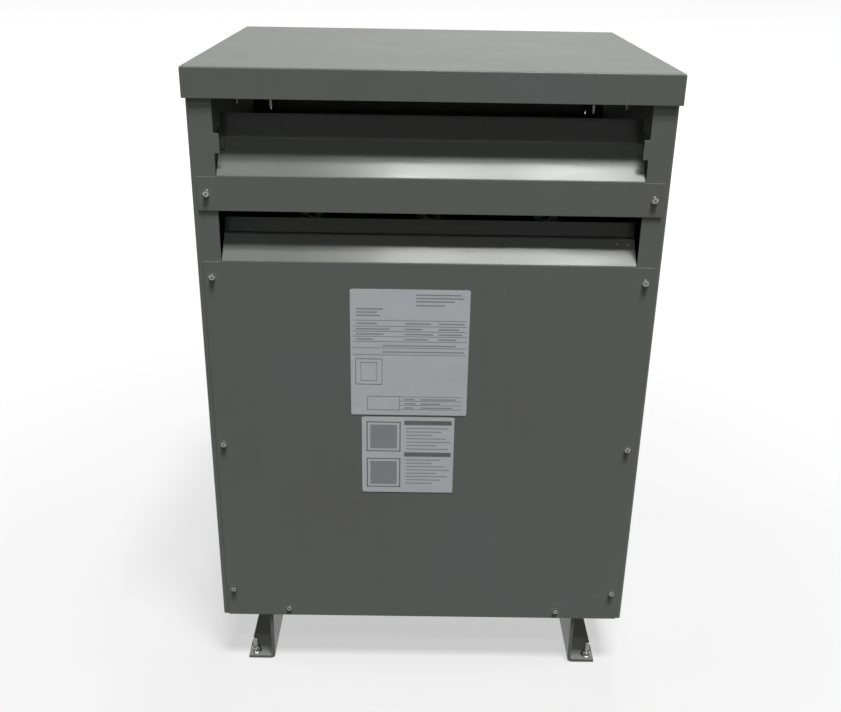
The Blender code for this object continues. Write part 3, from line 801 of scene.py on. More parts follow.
def to_mesh(name: str, shape: bmesh.types.BMesh, sharp: float = 35.0) -> Mesh:
    """Turn a shape into a mesh that is smooth up to an angle.

    Args:
        name: Name of the mesh.
        shape: The shape, which is used up.
        sharp: Degrees from which an edge stays sharp.

    Returns:
        The mesh.
    """
    mesh = bpy.data.meshes.new(name)
    shape.to_mesh(mesh)
    shape.free()
    mesh.shade_smooth()
    mesh.set_sharp_from_angle(angle=math.radians(sharp))
    return mesh


def add_piece(name: str, mesh: Mesh, finish: Finish, body: Body,
              place: Matrix | None = None, stands_for: Sequence[str] = ()) -> Object:
    """Put a new piece in the scene.

    Args:
        name: Name of the piece.
        mesh: Its mesh.
        finish: Its finish.
        body: The body that carries it.
        place: Where it stands, if its mesh isn't already in place.
        stands_for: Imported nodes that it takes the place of.

    Returns:
        The piece.
    """
    piece = bpy.data.objects.new(name, mesh)
    bpy.context.scene.collection.objects.link(piece)
    if place is not None:
        piece.matrix_world = place
    mesh.materials.clear()
    mesh.materials.append(finish.material())
    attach(piece, body.value)
    if stands_for:
        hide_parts(*stands_for)
    return piece


def middle(node: str) -> Vector:
    """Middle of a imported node's box."""
    low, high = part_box(node)
    return (low + high) / 2


# Sheet metal ----------------------------------------------------------------------------

@dataclass
class SheetMetal:
    """Painted sheet parts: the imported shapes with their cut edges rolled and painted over."""

    edge: float = 0.00045
    heavy_edge: float = 0.0009
    steps: int = 3
    sharp: float = 38.0
    weld: float = 0.00001
    flat: float = 0.2

    def refined(self, node: str, body: Body, edge: float) -> Object:
        """Copy a packed sheet part and round its edges.

        Args:
            node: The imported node.
            body: The body that carries it.
            edge: Radius of the edges.

        Returns:
            The refined piece, which stands for the node.
        """
        shape = bmesh.new()
        shape.from_mesh(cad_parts[node].data)
        bmesh.ops.remove_doubles(shape, verts=shape.verts, dist=self.weld)
        bmesh.ops.dissolve_limit(shape, angle_limit=math.radians(self.flat),
                                 verts=shape.verts, edges=shape.edges)
        mesh = to_mesh(f"{node}_sheet", shape, self.sharp)
        piece = add_piece(f"{node}_sheet", mesh, PAINT, body, stands_for=[node])
        rolled = piece.modifiers.new("rolled_edges", "BEVEL")
        rolled.width = edge
        rolled.segments = self.steps
        rolled.limit_method = "ANGLE"
        rolled.angle_limit = math.radians(self.sharp)
        rolled.harden_normals = True
        true_flats = piece.modifiers.new("true_flats", "WEIGHTED_NORMAL")
        true_flats.keep_sharp = True
        true_flats.weight = 80
        return piece

    def build(self) -> list[Object]:
        """Refine every painted part and return the pieces.

        Returns:
            The refined parts.
        """
        thin = {
            Body.ENCLOSURE: ("side_panel_left", "side_panel_right", "header_front",
                             "header_rear", "sill_front", "sill_rear"),
            Body.FRONT_PANEL: ("front_panel",),
            Body.FRONT_VENT: ("front_vent_bar",),
            Body.REAR_PANEL: ("rear_panel",),
            Body.REAR_VENT: ("rear_vent_bar",),
            Body.COVER: ("top_cover",),
        }
        heavy = ("foot_rail_left", "foot_rail_right", "cross_rail_front", "cross_rail_rear",
                 "lower_clamp_front", "lower_clamp_rear", "upper_clamp_front",
                 "upper_clamp_rear")
        pieces = [self.refined(node, body, self.edge)
                  for body, nodes in thin.items() for node in nodes]
        pieces += [self.refined(node, Body.ENCLOSURE, self.heavy_edge) for node in heavy]
        return pieces


@dataclass
class VentEnds:
    """Small sheet brackets behind the tabs, which close the notches at the louvre's ends."""

    fold: Point = (0.047, 0.100)
    foot: Point = (0.016, 0.068)
    lip: Point = (0.059, 0.136)
    low: float = 0.0855
    high: float = 0.1155
    inner: float = 0.3115
    web: Point = (0.3200, 0.3220)
    web_front: float = 0.0046
    sheet: float = 0.002
    sharp: float = 20.0

    def line(self) -> list[Vector]:
        """Middle line of the louvre beside the notch, from the bar's corner.

        Returns:
            Its points, as depth and height.
        """
        foot, fold, lip = (Vector(point) for point in (self.foot, self.fold, self.lip))
        start = foot.lerp(fold, (self.low - foot.y) / (fold.y - foot.y))
        stop = fold.lerp(lip, (self.high - fold.y) / (lip.y - fold.y))
        return [start, fold, stop]

    def bracket(self, name: str, side: int, end: int) -> Object:
        """One bracket.

        Args:
            name: Name of the piece.
            side: -1 at the front and 1 at the rear.
            end: -1 on the left and 1 on the right.

        Returns:
            The bracket.
        """
        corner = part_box("front_vent_bar")[0]
        line = self.line()
        slope = (line[1] - line[0]).normalized()
        steep = (line[2] - line[1]).normalized()
        turns = [slope, (slope + steep).normalized(), steep]
        across = [Vector((-turn.y, turn.x)) * self.sheet / 2 for turn in turns]
        outer = [point + shift for point, shift in zip(line, across)]
        inner = [point - shift for point, shift in zip(line, across)]
        web = [Vector((self.web_front, self.low)), Vector((self.web_front, self.high))]
        outlines = (((self.inner, self.web[1]), outer + inner[::-1]),
                    (self.web, web + [outer[2], outer[1], outer[0]]))
        shape = gather(skin([[Vector((end * x, side * (-corner.y - depth), corner.z + rise))
                              for depth, rise in outline] for x in reach])
                       for reach, outline in outlines)
        return add_piece(name, to_mesh(name, shape, self.sharp), PAINT, Body.ENCLOSURE)

    def build(self) -> list[Object]:
        """Make the four brackets.

        Returns:
            The brackets.
        """
        return [self.bracket(f"vent_end_{place}_{hand}", side, end)
                for place, side in (("front", -1), ("rear", 1))
                for hand, end in (("left", -1), ("right", 1))]


@dataclass
class SpotWelds:
    """Two small weld marks near the right end of the panel's louvre."""

    across: Point = (0.2908, 0.3081)
    depth: float = 0.0268
    below_top: float = 0.0306
    radius: float = 0.0019
    rise: float = 0.0002
    tilt: float = 46.3
    lift: float = 0.0001
    steps: int = 20

    def build(self) -> list[Object]:
        """Make both marks.

        Returns:
            The marks.
        """
        low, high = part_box("front_panel")
        normal = Vector((0.0, -math.sin(math.radians(self.tilt)),
                         math.cos(math.radians(self.tilt))))
        levels = (Ring(0.0, self.radius), Ring(self.rise * 0.6, self.radius * 0.85),
                  Ring(self.rise, self.radius * 0.45))
        mesh = to_mesh("spot_weld", skin([level.points(self.steps) for level in levels]),
                       sharp=80.0)
        pieces = []
        for number, across in enumerate(self.across, start=1):
            spot = Vector((across, low.y + self.depth, high.z - self.below_top))
            pieces.append(add_piece(f"spot_weld_{number}", mesh, WELD_PAINT, Body.FRONT_PANEL,
                                    Matrix.Translation(spot + normal * self.lift)
                                    @ facing(normal)))
        return pieces


# Fasteners ------------------------------------------------------------------------------

@dataclass(frozen=True)
class HexScrew:
    """Thread-forming screw with a hexagon head on a dished washer."""

    length: float = 0.012
    shank: float = 0.0024
    pitch: float = 0.0015
    thread: float = 0.00035
    point: float = 0.004
    tip: float = 0.0004
    washer: float = 0.0056
    rim: float = 0.0010
    flats: float = 0.0079
    head: float = 0.0042
    chamfer: float = 0.0007
    dimple: float = 0.0024
    dimple_depth: float = 0.0006
    steps: int = 36
    rings_per_turn: int = 6

    def shank_rings(self) -> list[list[Vector]]:
        """Threaded shank from the point up to the seat, as a helical ridge.

        Returns:
            Rings of points, from the point up.
        """
        rings = []
        count = int(self.length / self.pitch * self.rings_per_turn)
        for index in range(count + 1):
            height = -self.length * (1.0 - index / count)
            taper = min(1.0, (height + self.length) / self.point)
            ring = []
            for step in range(self.steps):
                angle = math.tau * step / self.steps
                phase = (height / self.pitch - angle / math.tau) % 1.0
                ridge = self.thread * max(0.0, 1.0 - 4.0 * abs(phase - 0.5)) * min(1.0, 3 * taper)
                if index == count:
                    ridge = 0.0
                reach = self.tip + (self.shank - self.thread - self.tip) * taper + ridge
                ring.append(Vector((reach * math.cos(angle), reach * math.sin(angle), height)))
            rings.append(ring)
        return rings

    def head_rings(self) -> list[Ring]:
        """Washer, hexagon with a chamfered crown, and the dimple in its top.

        Returns:
            Rings from the seat to the bottom of the dimple.
        """
        corner = self.flats / 2 / math.cos(math.pi / 6)
        top = self.rim + self.head
        roll = self.rim / 3
        return [
            Ring(0.0, self.washer - roll), Ring(roll, self.washer),
            Ring(self.rim - roll, self.washer), Ring(self.rim, self.washer - roll),
            Ring(self.rim * 1.12, corner * 1.02), Ring(self.rim * 1.2, corner, self.flats),
            Ring(top - self.chamfer, corner, self.flats),
            Ring(top - self.chamfer / 3, self.flats / 2 * 1.03, self.flats),
            Ring(top, self.flats / 2 * 0.95), Ring(top, self.dimple * 1.15),
            Ring(top - self.dimple_depth / 3, self.dimple),
            Ring(top - self.dimple_depth, self.dimple * 0.72),
        ]

    def mesh(self, name: str) -> Mesh:
        """The whole screw along +Z, its seat at the origin."""
        rings = self.shank_rings() + [ring.points(self.steps) for ring in self.head_rings()]
        return to_mesh(name, skin(rings), sharp=40.0)


@dataclass
class CaseScrews:
    """Every screw of the enclosure: panels, vent bars and headers."""

    panel_count: int = 8
    bar_count: int = 2
    header_count: int = 4
    header_length: float = 0.021
    rear_rim: float = 0.0007
    rear_head: float = 0.0017
    rear_chamfer: float = 0.0005
    rear_dimple_depth: float = 0.0004
    turn: float = 0.7

    def along(self, seat: Vector, direction: Vector, spin: float) -> Matrix:
        """Place of a screw whose head looks in a direction from its seat."""
        return Matrix.Translation(seat) @ facing(direction) @ Matrix.Rotation(spin, 4, "Z")

    def build(self) -> list[Object]:
        """Make the front and header screws on their packed places, and the rear screws.

        Returns:
            The screws.
        """
        front = HexScrew().mesh("hex_washer_screw")
        tall = HexScrew(length=self.header_length).mesh("long_hex_washer_screw")
        low_head = HexScrew(rim=self.rear_rim, head=self.rear_head, chamfer=self.rear_chamfer,
                            dimple_depth=self.rear_dimple_depth).mesh("low_hex_washer_screw")
        outward = Vector((0.0, -1.0, 0.0))
        pieces = []
        groups = ((Body.FRONT_PANEL, Body.REAR_PANEL, "panel_screw", self.panel_count),
                  (Body.FRONT_VENT, Body.REAR_VENT, "bar_screw", self.bar_count))
        for body, rear_body, prefix, count in groups:
            for number in range(1, count + 1):
                node = f"{prefix}_{number}"
                spot = middle(node)
                tip_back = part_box(node)[1].y
                seat = Vector((spot.x, tip_back - HexScrew().length, spot.z))
                place = self.along(seat, outward, self.turn * number)
                pieces.append(add_piece(f"{node}_detail", front, SCREW_ZINC, body, place,
                                        [node]))
                seat = Vector((-spot.x, -seat.y, spot.z))
                place = self.along(seat, -outward, self.turn * number)
                pieces.append(add_piece(f"rear_{node}", low_head, SCREW_ZINC, rear_body,
                                        place))
        for number in range(1, self.header_count + 1):
            node = f"header_screw_{number}"
            spot = middle(node)
            seat = Vector((spot.x, spot.y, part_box(node)[0].z + self.header_length))
            place = self.along(seat, Vector((0.0, 0.0, 1.0)), self.turn * number)
            pieces.append(add_piece(f"{node}_detail", tall, SHANK_ZINC, Body.ENCLOSURE, place,
                                    [node]))
        return pieces


@dataclass
class FloorAnchors:
    """Threaded studs with flanged nuts that hold the feet down."""

    pitch: float = 0.0016
    thread: float = 0.0005
    rings_per_turn: int = 6
    steps: int = 36
    flats: float = 0.0143
    flange_height: float = 0.0020
    chamfer: float = 0.0011
    bore: float = 0.0053
    bore_chamfer: float = 0.0006
    lower_edge: float = 0.0004
    upper_edge: float = 0.0006
    crest: float = 0.0008
    tip_share: float = 0.78

    def stud(self, node: str) -> Mesh:
        """Threaded stud in place of a packed one.

        Args:
            node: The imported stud.

        Returns:
            The stud's mesh.
        """
        low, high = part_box(node)
        centre = middle(node)
        radius = (high.x - low.x) / 2
        tall = high.z - low.z
        count = int(tall / self.pitch * self.rings_per_turn)
        rings = []
        for index in range(count + 1):
            height = low.z + tall * index / count
            end = min(1.0, (high.z - height) / (2 * self.pitch))
            ring = []
            for step in range(self.steps):
                angle = math.tau * step / self.steps
                phase = (height / self.pitch - angle / math.tau) % 1.0
                groove = self.thread * abs(2.0 * phase - 1.0)
                reach = radius * (self.tip_share + (1.0 - self.tip_share) * end) - groove
                ring.append(Vector((centre.x + reach * math.cos(angle),
                                    centre.y + reach * math.sin(angle), height)))
            rings.append(ring)
        return to_mesh(f"{node}_detail", skin(rings), sharp=50.0)

    def nut(self, node: str) -> Mesh:
        """Flanged nut in place of a packed one, open along its bore.

        Args:
            node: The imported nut.

        Returns:
            The nut's mesh.
        """
        low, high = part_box(node)
        centre = middle(node)
        flange = (high.x - low.x) / 2
        corner = self.flats / 2 / math.cos(math.pi / 6)
        shoulder = low.z + self.flange_height
        levels = [
            Ring(low.z, self.bore), Ring(low.z, flange - self.lower_edge),
            Ring(low.z + self.lower_edge, flange), Ring(shoulder - self.upper_edge, flange),
            Ring(shoulder, flange - self.crest),
            Ring(shoulder + self.lower_edge, corner * 1.01, self.flats),
            Ring(high.z - self.chamfer, corner, self.flats),
            Ring(high.z - self.chamfer / 4, self.flats / 2 * 1.03, self.flats),
            Ring(high.z, self.flats / 2 * 0.96),
            Ring(high.z, self.bore + self.bore_chamfer),
            Ring(high.z - self.bore_chamfer, self.bore),
        ]
        shift = Vector((centre.x, centre.y, 0.0))
        rings = [[point + shift for point in level.points(self.steps)] for level in levels]
        return to_mesh(f"{node}_detail", skin(rings, closed=True), sharp=40.0)

    def build(self) -> list[Object]:
        """Make both anchors and return their pieces.

        Returns:
            Two studs and two nuts.
        """
        pieces = []
        for side in ("left", "right"):
            for kind, maker in (("stud", self.stud), ("nut", self.nut)):
                node = f"anchor_{kind}_{side}"
                pieces.append(add_piece(f"{node}_detail", maker(node), ZINC, Body.ENCLOSURE,
                                        stands_for=[node]))
        return pieces


# Core and windings ----------------------------------------------------------------------

@dataclass
class Windings:
    """Inner and outer windings with round corners, and the sticks that keep them apart."""

    steps: int = 10
    turn_pitch: float = 0.0105
    turn_depth: float = 0.0016
    rim: float = 0.003
    inner_corner: float = 0.0004
    inner_wall: float = 0.024
    outer_corner: float = 0.0244
    outer_wall: float = 0.025
    stick_width: float = 0.008
    stick_half_depth: float = 0.0022
    stick_foot: float = 0.0003
    stick_rise: float = 0.006
    stick_edge: float = 0.0005
    stick_spread: float = 0.45
    stick_gap: float = 0.002

    def ring_mesh(self, node: str, corner: float, wall: float, ribbed: bool) -> Mesh:
        """One winding in place of a packed one.

        Args:
            node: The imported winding.
            corner: Radius of its inner corners.
            wall: Thickness of its wall.
            ribbed: True where single turns show on the outside.

        Returns:
            The winding's mesh.
        """
        low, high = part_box(node)
        centre = middle(node)
        half_x = (high.x - low.x) / 2
        half_y = (high.y - low.y) / 2
        levels = [(low.z, self.rim), (low.z + self.rim, 0.0)]
        if ribbed:
            turns = int((high.z - low.z - 4 * self.rim) / self.turn_pitch)
            start = low.z + 2 * self.rim
            for turn in range(turns):
                base = start + turn * self.turn_pitch
                for share, depth in ((0.0, 1.0), (0.12, 0.3), (0.3, 0.0), (0.7, 0.0),
                                     (0.88, 0.3)):
                    levels.append((base + share * self.turn_pitch, depth * self.turn_depth))
        levels += [(high.z - self.rim, 0.0), (high.z, self.rim)]
        rings = []
        for height, inset in levels:
            outline = rounded_outline(half_x - inset, half_y - inset, corner + wall - inset,
                                      self.steps)
            rings.append([Vector((centre.x + x, centre.y + y, height)) for x, y in outline])
        bore = rounded_outline(half_x - wall, half_y - wall, corner, self.steps)
        for height in (high.z, low.z):
            rings.append([Vector((centre.x + x, centre.y + y, height)) for x, y in bore])
        return to_mesh(f"{node}_detail", skin(rings, closed=True), sharp=60.0)

    def sticks(self, number: int) -> list[Object]:
        """Glass-polyester sticks that stand up between the two windings of a leg.

        Args:
            number: Number of the leg, from the left.

        Returns:
            The sticks.
        """
        low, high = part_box(f"inner_winding_{number}")
        centre = middle(f"inner_winding_{number}")
        half_x = (high.x - low.x) / 2
        half_y = (high.y - low.y) / 2
        spots = [(end * half_x * self.stick_spread, side * (half_y + self.stick_gap))
                 for end in (-1, 1) for side in (-1, 1)]
        pieces = []
        for index, (across, along) in enumerate(spots, start=1):
            spot = Vector((centre.x + across, centre.y + along, high.z))
            half = Vector((self.stick_width / 2, self.stick_half_depth, 0.0))
            shape = block(spot - half + Vector((0.0, 0.0, self.stick_foot)),
                          spot + half + Vector((0.0, 0.0, self.stick_rise)), self.stick_edge)
            name = f"winding_stick_{number}_{index}"
            pieces.append(add_piece(name, to_mesh(name, shape), BOARD, Body.ENCLOSURE))
        return pieces

    def build(self) -> list[Object]:
        """Make the six windings and their sticks.

        Returns:
            The windings and the sticks.
        """
        pieces = []
        for number in (1, 2, 3):
            inner, outer = f"inner_winding_{number}", f"outer_winding_{number}"
            wrapped = self.ring_mesh(inner, self.inner_corner, self.inner_wall, False)
            dipped = self.ring_mesh(outer, self.outer_corner, self.outer_wall, True)
            pieces.append(add_piece(f"{inner}_detail", wrapped, PAPER, Body.ENCLOSURE,
                                    stands_for=[inner]))
            pieces.append(add_piece(f"{outer}_detail", dipped, VARNISH, Body.ENCLOSURE,
                                    stands_for=[outer]))
            pieces += self.sticks(number)
        return pieces


@dataclass
class CoreHardware:
    """Bolts through the ends of the clamps that hold the core."""

    bolt_inset: float = 0.022
    clamp_sheet: float = 0.005
    clearance: float = 0.0003

    def bolt(self) -> Mesh:
        """Hexagon bolt head with a plain washer, along +Z from its seat.

        Returns:
            Mesh of the bolt.
        """
        return HexScrew(length=0.004, shank=0.0045, point=0.0005, tip=0.004, thread=0.0001,
                        washer=0.0110, rim=0.0018, flats=0.0160, head=0.0062, chamfer=0.0012,
                        dimple=0.0045, dimple_depth=0.0004).mesh("clamp_bolt")

    def build(self) -> list[Object]:
        """Make the bolts and return them.

        Returns:
            The bolts.
        """
        mesh = self.bolt()
        pieces = []
        for level in ("lower", "upper"):
            for side, name in ((-1.0, "front"), (1.0, "rear")):
                low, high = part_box(f"{level}_clamp_{name}")
                web = high.y if side < 0 else low.y
                face = web + side * (self.clamp_sheet + self.clearance)
                for end in (-1, 1):
                    spot = Vector((end * (high.x - self.bolt_inset), face,
                                   (low.z + high.z) / 2))
                    place = Matrix.Translation(spot) @ facing(Vector((0.0, side, 0.0)))
                    label = "left" if end < 0 else "right"
                    pieces.append(add_piece(f"{level}_clamp_bolt_{name}_{label}", mesh, ZINC,
                                            Body.ENCLOSURE, place))
        return pieces


@dataclass
class PackedParts:
    """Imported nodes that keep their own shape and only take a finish."""

    def build(self) -> list[Object]:
        """Paint the nodes and return them.

        Returns:
            The nodes.
        """
        groups: tuple[tuple[Finish, tuple[str, ...]], ...] = (
            (STEEL, ("core_yoke_lower", "core_yoke_upper", "core_leg_1", "core_leg_2",
                     "core_leg_3")),
            (RUBBER, tuple(f"vibration_pad_{number}" for number in range(1, 5))),
            (BOARD, ("terminal_board",)),
            (ALUMINIUM, ("bus_bar_1", "bus_bar_2", "bus_bar_3", "ground_lug")),
        )
        pieces = []
        for finish, nodes in groups:
            for node in nodes:
                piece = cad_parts[node]
                for place in piece.material_slots:
                    place.material = finish.material()
                if not piece.material_slots:
                    piece.data.materials.append(finish.material())
                pieces.append(piece)
        return pieces


# Labels ---------------------------------------------------------------------------------

@dataclass(frozen=True)
class Mark:
    """A printed rectangle, in shares of the label's width and height from its lower left."""

    left: float
    bottom: float
    right: float
    top: float


@dataclass
class Label:
    """Blank form label: a thin film with round corners and plain ruled fields on it."""

    node: str
    rules: Sequence[Mark]
    entries: Sequence[Mark]
    corner: float = 0.003
    corner_steps: int = 6
    lift: float = 0.00003
    ink_height: float = 0.00003

    def film(self) -> Object:
        """The label itself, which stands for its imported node.

        Returns:
            The film.
        """
        low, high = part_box(self.node)
        centre = middle(self.node)
        outline = rounded_outline((high.x - low.x) / 2, (high.z - low.z) / 2, self.corner,
                                  self.corner_steps)
        rings = [[Vector((centre.x + x, depth, centre.z + z)) for x, z in outline]
                 for depth in (high.y, low.y)]
        return add_piece(f"{self.node}_film", to_mesh(f"{self.node}_film", skin(rings)), VINYL,
                         Body.FRONT_PANEL, stands_for=[self.node])

    def printed(self, name: str, marks: Iterable[Mark], finish: Finish) -> Object:
        """Ink on the label: flat rectangles just proud of the film.

        Args:
            name: Name of the ink.
            marks: What is printed.
            finish: Finish of the ink.

        Returns:
            The ink.
        """
        low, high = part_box(self.node)
        wide, tall = high.x - low.x, high.z - low.z
        back = low.y - self.lift
        face = back - self.ink_height
        shape = gather(block(Vector((low.x + mark.left * wide, face, low.z + mark.bottom * tall)),
                             Vector((low.x + mark.right * wide, back, low.z + mark.top * tall)))
                       for mark in marks)
        return add_piece(name, to_mesh(name, shape), finish, Body.FRONT_PANEL)

    def build(self) -> list[Object]:
        """Make the film and its two inks."""
        return [self.film(), self.printed(f"{self.node}_rules", self.rules, INK),
                self.printed(f"{self.node}_entries", self.entries, PALE_INK)]


def ruled_lines(left: float, right: float, heights: Iterable[float],
                weight: float = 0.0035) -> list[Mark]:
    """Level lines across part of a label."""
    return [Mark(left, height, right, height + weight) for height in heights]


def ruled_frame(left: float, bottom: float, right: float, top: float,
                weight: float = 0.005) -> list[Mark]:
    """The four sides of an empty box."""
    return [Mark(left, bottom, right, bottom + weight), Mark(left, top - weight, right, top),
            Mark(left, bottom, left + weight, top), Mark(right - weight, bottom, right, top)]


def blank_entries(left: float, right: float, heights: Iterable[float],
                  shares: Sequence[float], weight: float = 0.010) -> list[Mark]:
    """Plain bars of changing length that start in one column."""
    return [Mark(left, height, left + (right - left) * shares[index % len(shares)],
                 height + weight) for index, height in enumerate(heights)]


def rating_label() -> Label:
    """Upper label: a blank data form.

    Returns:
        The label.
    """
    rules = ruled_lines(0.02, 0.98, (0.760, 0.715, 0.675, 0.635, 0.595))
    rules += ruled_lines(0.02, 0.98, (0.545, 0.490))
    rules += ruled_frame(0.040, 0.250, 0.270, 0.460)
    rules += ruled_frame(0.085, 0.280, 0.225, 0.430, 0.004)
    rules += ruled_lines(0.42, 0.96, (0.150, 0.115, 0.080, 0.045))
    rules += ruled_frame(0.14, 0.04, 0.42, 0.155, 0.004)
    entries = blank_entries(0.05, 0.30, (0.845, 0.820, 0.795), (0.9, 0.7, 0.8))
    entries += blank_entries(0.55, 0.95, (0.955, 0.930, 0.905, 0.875), (0.95, 1.0, 0.8, 0.6))
    entries += blank_entries(0.05, 0.40, (0.733, 0.690, 0.650, 0.610), (0.5, 0.8, 0.65, 0.4))
    entries += blank_entries(0.46, 0.70, (0.733, 0.690, 0.650, 0.610), (0.9, 0.6, 1.0, 0.8))
    entries += blank_entries(0.74, 0.96, (0.733, 0.690, 0.650, 0.610), (1.0, 0.8, 0.9, 0.7))
    entries += blank_entries(0.27, 0.96, (0.560, 0.510), (0.9, 1.0))
    entries += blank_entries(0.46, 0.56, (0.125, 0.090, 0.055), (0.9, 1.0, 0.8))
    entries += blank_entries(0.60, 0.94, (0.125, 0.090, 0.055), (0.9, 0.5, 0.8))
    return Label("rating_sticker", rules, entries)


def service_label() -> Label:
    """Lower label: empty boxes and lines for service notes.

    Returns:
        The label.
    """
    rules = ruled_frame(0.05, 0.55, 0.42, 0.94, 0.012) + ruled_frame(0.05, 0.07, 0.42, 0.46, 0.012)
    rules += ruled_lines(0.46, 0.97, (0.900, 0.485), 0.055)
    notes = [0.85 - 0.045 * row for row in range(7)] + [0.435 - 0.045 * row for row in range(8)]
    entries = blank_entries(0.48, 0.96, notes, (0.95, 0.8, 0.6, 0.9, 1.0, 0.7), 0.012)
    entries += [Mark(0.09, 0.59, 0.38, 0.90), Mark(0.09, 0.11, 0.38, 0.42)]
    return Label("safety_sticker", rules, entries)


# Stage ----------------------------------------------------------------------------------

@dataclass
class Floor:
    """Plain pale floor that keeps the object's shadow."""

    half: float = 40.0
    pale: Colour = (0.30, 0.30, 0.30)
    diffuse: Colour = (0.12, 0.12, 0.12)
    glow_near: float = 0.56
    glow_far: float = 0.93
    near: float = 0.6
    far: float = 4.0

    def material(self) -> Material:
        """Pale to the camera and in reflections, darker as a source of bounced light.

        Returns:
            The floor's material.
        """
        recipe = Recipe("studio_floor")
        path = recipe.node("ShaderNodeLightPath").outputs
        seen = recipe.maths("MAXIMUM", path["Is Camera Ray"], path["Is Glossy Ray"])
        seen = recipe.maths("MAXIMUM", seen, path["Is Transmission Ray"])
        colour = recipe.mixed(seen, self.diffuse, self.pale)
        away = recipe.node("ShaderNodeVectorMath", {"Vector": recipe.place},
                           operation="LENGTH").outputs["Value"]
        glow = recipe.product(recipe.span(away, self.glow_near, self.glow_far, self.near,
                                          self.far), seen)
        recipe.shader.inputs["Emission Color"].default_value = (1.0, 1.0, 1.0, 1.0)
        recipe.tree.links.new(glow, recipe.shader.inputs["Emission Strength"])
        grain = recipe.noise(160.0, 2.0)
        return recipe.finish(colour, recipe.span(grain, 0.85, 0.95),
                             recipe.relief(grain, 0.0001), specular=0.0)

    def build(self) -> Object:
        """Lay the floor at ground level.

        Returns:
            The floor.
        """
        shape = bmesh.new()
        corners = ((-1, -1), (1, -1), (1, 1), (-1, 1))
        shape.faces.new([shape.verts.new((x * self.half, y * self.half, 0.0))
                         for x, y in corners])
        mesh = to_mesh("studio_floor", shape)
        mesh.materials.append(self.material())
        floor = bpy.data.objects.new("studio_floor", mesh)
        bpy.context.scene.collection.objects.link(floor)
        return floor


@dataclass
class Lamp:
    """Soft rectangular lamp."""

    name: str
    place: Point3
    power: float
    size: Point
    aim: Point3 = (0.0, -0.30, 0.88)

    def build(self) -> Object:
        """Hang the lamp.

        Returns:
            The lamp.
        """
        data = bpy.data.lights.new(self.name, "AREA")
        data.shape = "RECTANGLE"
        data.size, data.size_y = self.size
        data.energy = self.power
        lamp = bpy.data.objects.new(self.name, data)
        lamp.location = self.place
        aim = Vector(self.aim) - Vector(self.place)
        lamp.rotation_euler = aim.to_track_quat("-Z", "Y").to_euler()
        bpy.context.scene.collection.objects.link(lamp)
        return lamp


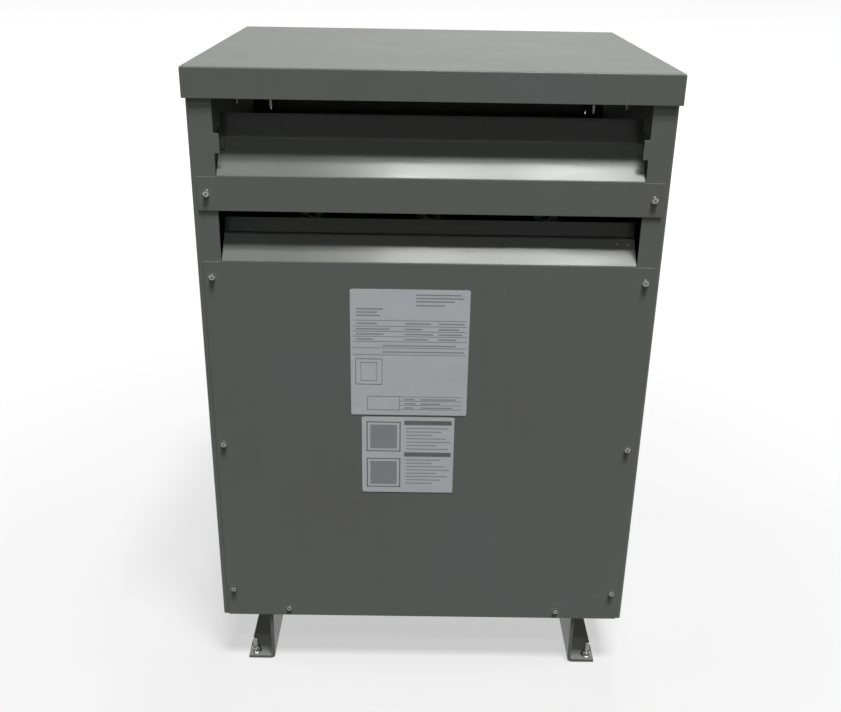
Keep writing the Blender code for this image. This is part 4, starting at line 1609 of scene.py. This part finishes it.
@dataclass
class Studio:
    """Lamps, surroundings and camera."""

    ambient: float = 0.013
    backdrop: float = 0.93
    lens: float = 42.57
    sensor: float = 36.0
    middle: Point3 = (0.0, 0.0, 0.55)
    eye: Point3 = (-0.0208, -1.7600, 1.2467)
    right: Point3 = (0.99988, 0.00032, 0.01577)
    up: Point3 = (-0.01460, 0.39723, 0.91760)

    def surroundings(self) -> None:
        """Dim light from all round, with a pale backdrop for the camera and reflections."""
        world = bpy.data.worlds.new("studio")
        world.use_nodes = True
        tree = world.node_tree
        ground = tree.nodes["Background"]
        ground.inputs["Color"].default_value = (1.0, 1.0, 1.0, 1.0)
        path = tree.nodes.new("ShaderNodeLightPath").outputs
        seen = path["Is Camera Ray"]
        for name in ("Is Glossy Ray", "Is Transmission Ray"):
            larger = tree.nodes.new("ShaderNodeMath")
            larger.operation = "MAXIMUM"
            tree.links.new(seen, larger.inputs[0])
            tree.links.new(path[name], larger.inputs[1])
            seen = larger.outputs[0]
        strength = tree.nodes.new("ShaderNodeMapRange")
        strength.inputs["To Min"].default_value = self.ambient
        strength.inputs["To Max"].default_value = self.backdrop
        tree.links.new(seen, strength.inputs["Value"])
        tree.links.new(strength.outputs[0], ground.inputs["Strength"])
        bpy.context.scene.world = world

    def camera(self) -> Object:
        """Set up the camera in front of and above the enclosure.

        Returns:
            The camera.
        """
        data = bpy.data.cameras.new("camera")
        data.lens = self.lens
        data.sensor_width = self.sensor
        camera = bpy.data.objects.new("camera", data)
        right, up = Vector(self.right).normalized(), Vector(self.up).normalized()
        back = right.cross(up)
        pose = Matrix((right, up, back)).transposed().to_4x4()
        camera.matrix_world = Matrix.Translation(self.eye) @ pose
        bpy.context.scene.collection.objects.link(camera)
        bpy.context.scene.camera = camera
        return camera

    def build(self) -> list[Object]:
        """Light the scene and place the camera.

        Returns:
            The lamps and the camera.
        """
        bpy.context.scene.view_settings.view_transform = "Standard"
        self.surroundings()
        lamps = [
            Lamp("overhead_lamp_centre", (0.250, -3.21, 14.57), 515.0, (1.9, 0.9)),
            Lamp("overhead_lamp_right", (2.500, -3.21, 14.57), 575.0, (2.3, 0.9)),
            Lamp("forward_lamp_centre", (0.250, -4.60, 14.20), 335.0, (1.9, 1.0)),
            Lamp("forward_lamp_right", (2.500, -4.60, 14.20), 455.0, (2.3, 1.0)),
            Lamp("front_lamp", (0.20, -5.12, 7.27), 66.0, (2.4, 0.5)),
            Lamp("left_lamp", (-7.0, 1.0, 1.6), 170.0, (2.5, 1.5), self.middle),
            Lamp("right_lamp", (7.0, 1.0, 1.6), 170.0, (2.5, 1.5), self.middle),
            Lamp("rear_lamp", (0.8, 6.85, 5.2), 205.0, (2.0, 0.8), self.middle),
        ]
        return [lamp.build() for lamp in lamps] + [self.camera()]


# Assembly -------------------------------------------------------------------------------


def main() -> None:
    """Build the scene, one sub-assembly after another."""
    logging.basicConfig(level=logging.INFO, format="%(name)s: %(message)s")
    makers: tuple[tuple[str, Callable[[], object]], ...] = (
        ("studio", Studio().build),
        ("floor", Floor().build),
        ("packed parts", PackedParts().build),
        ("sheet metal", SheetMetal().build),
        ("vent ends", VentEnds().build),
        ("spot welds", SpotWelds().build),
        ("case screws", CaseScrews().build),
        ("floor anchors", FloorAnchors().build),
        ("windings", Windings().build),
        ("core hardware", CoreHardware().build),
        ("rating label", rating_label().build),
        ("service label", service_label().build),
    )
    for name, build in makers:
        made = build()
        pieces = made if isinstance(made, list) else [made]
        LOG.info("%s: %s", name, ", ".join(piece.name for piece in pieces))


if __name__ == "__main__":
    main()
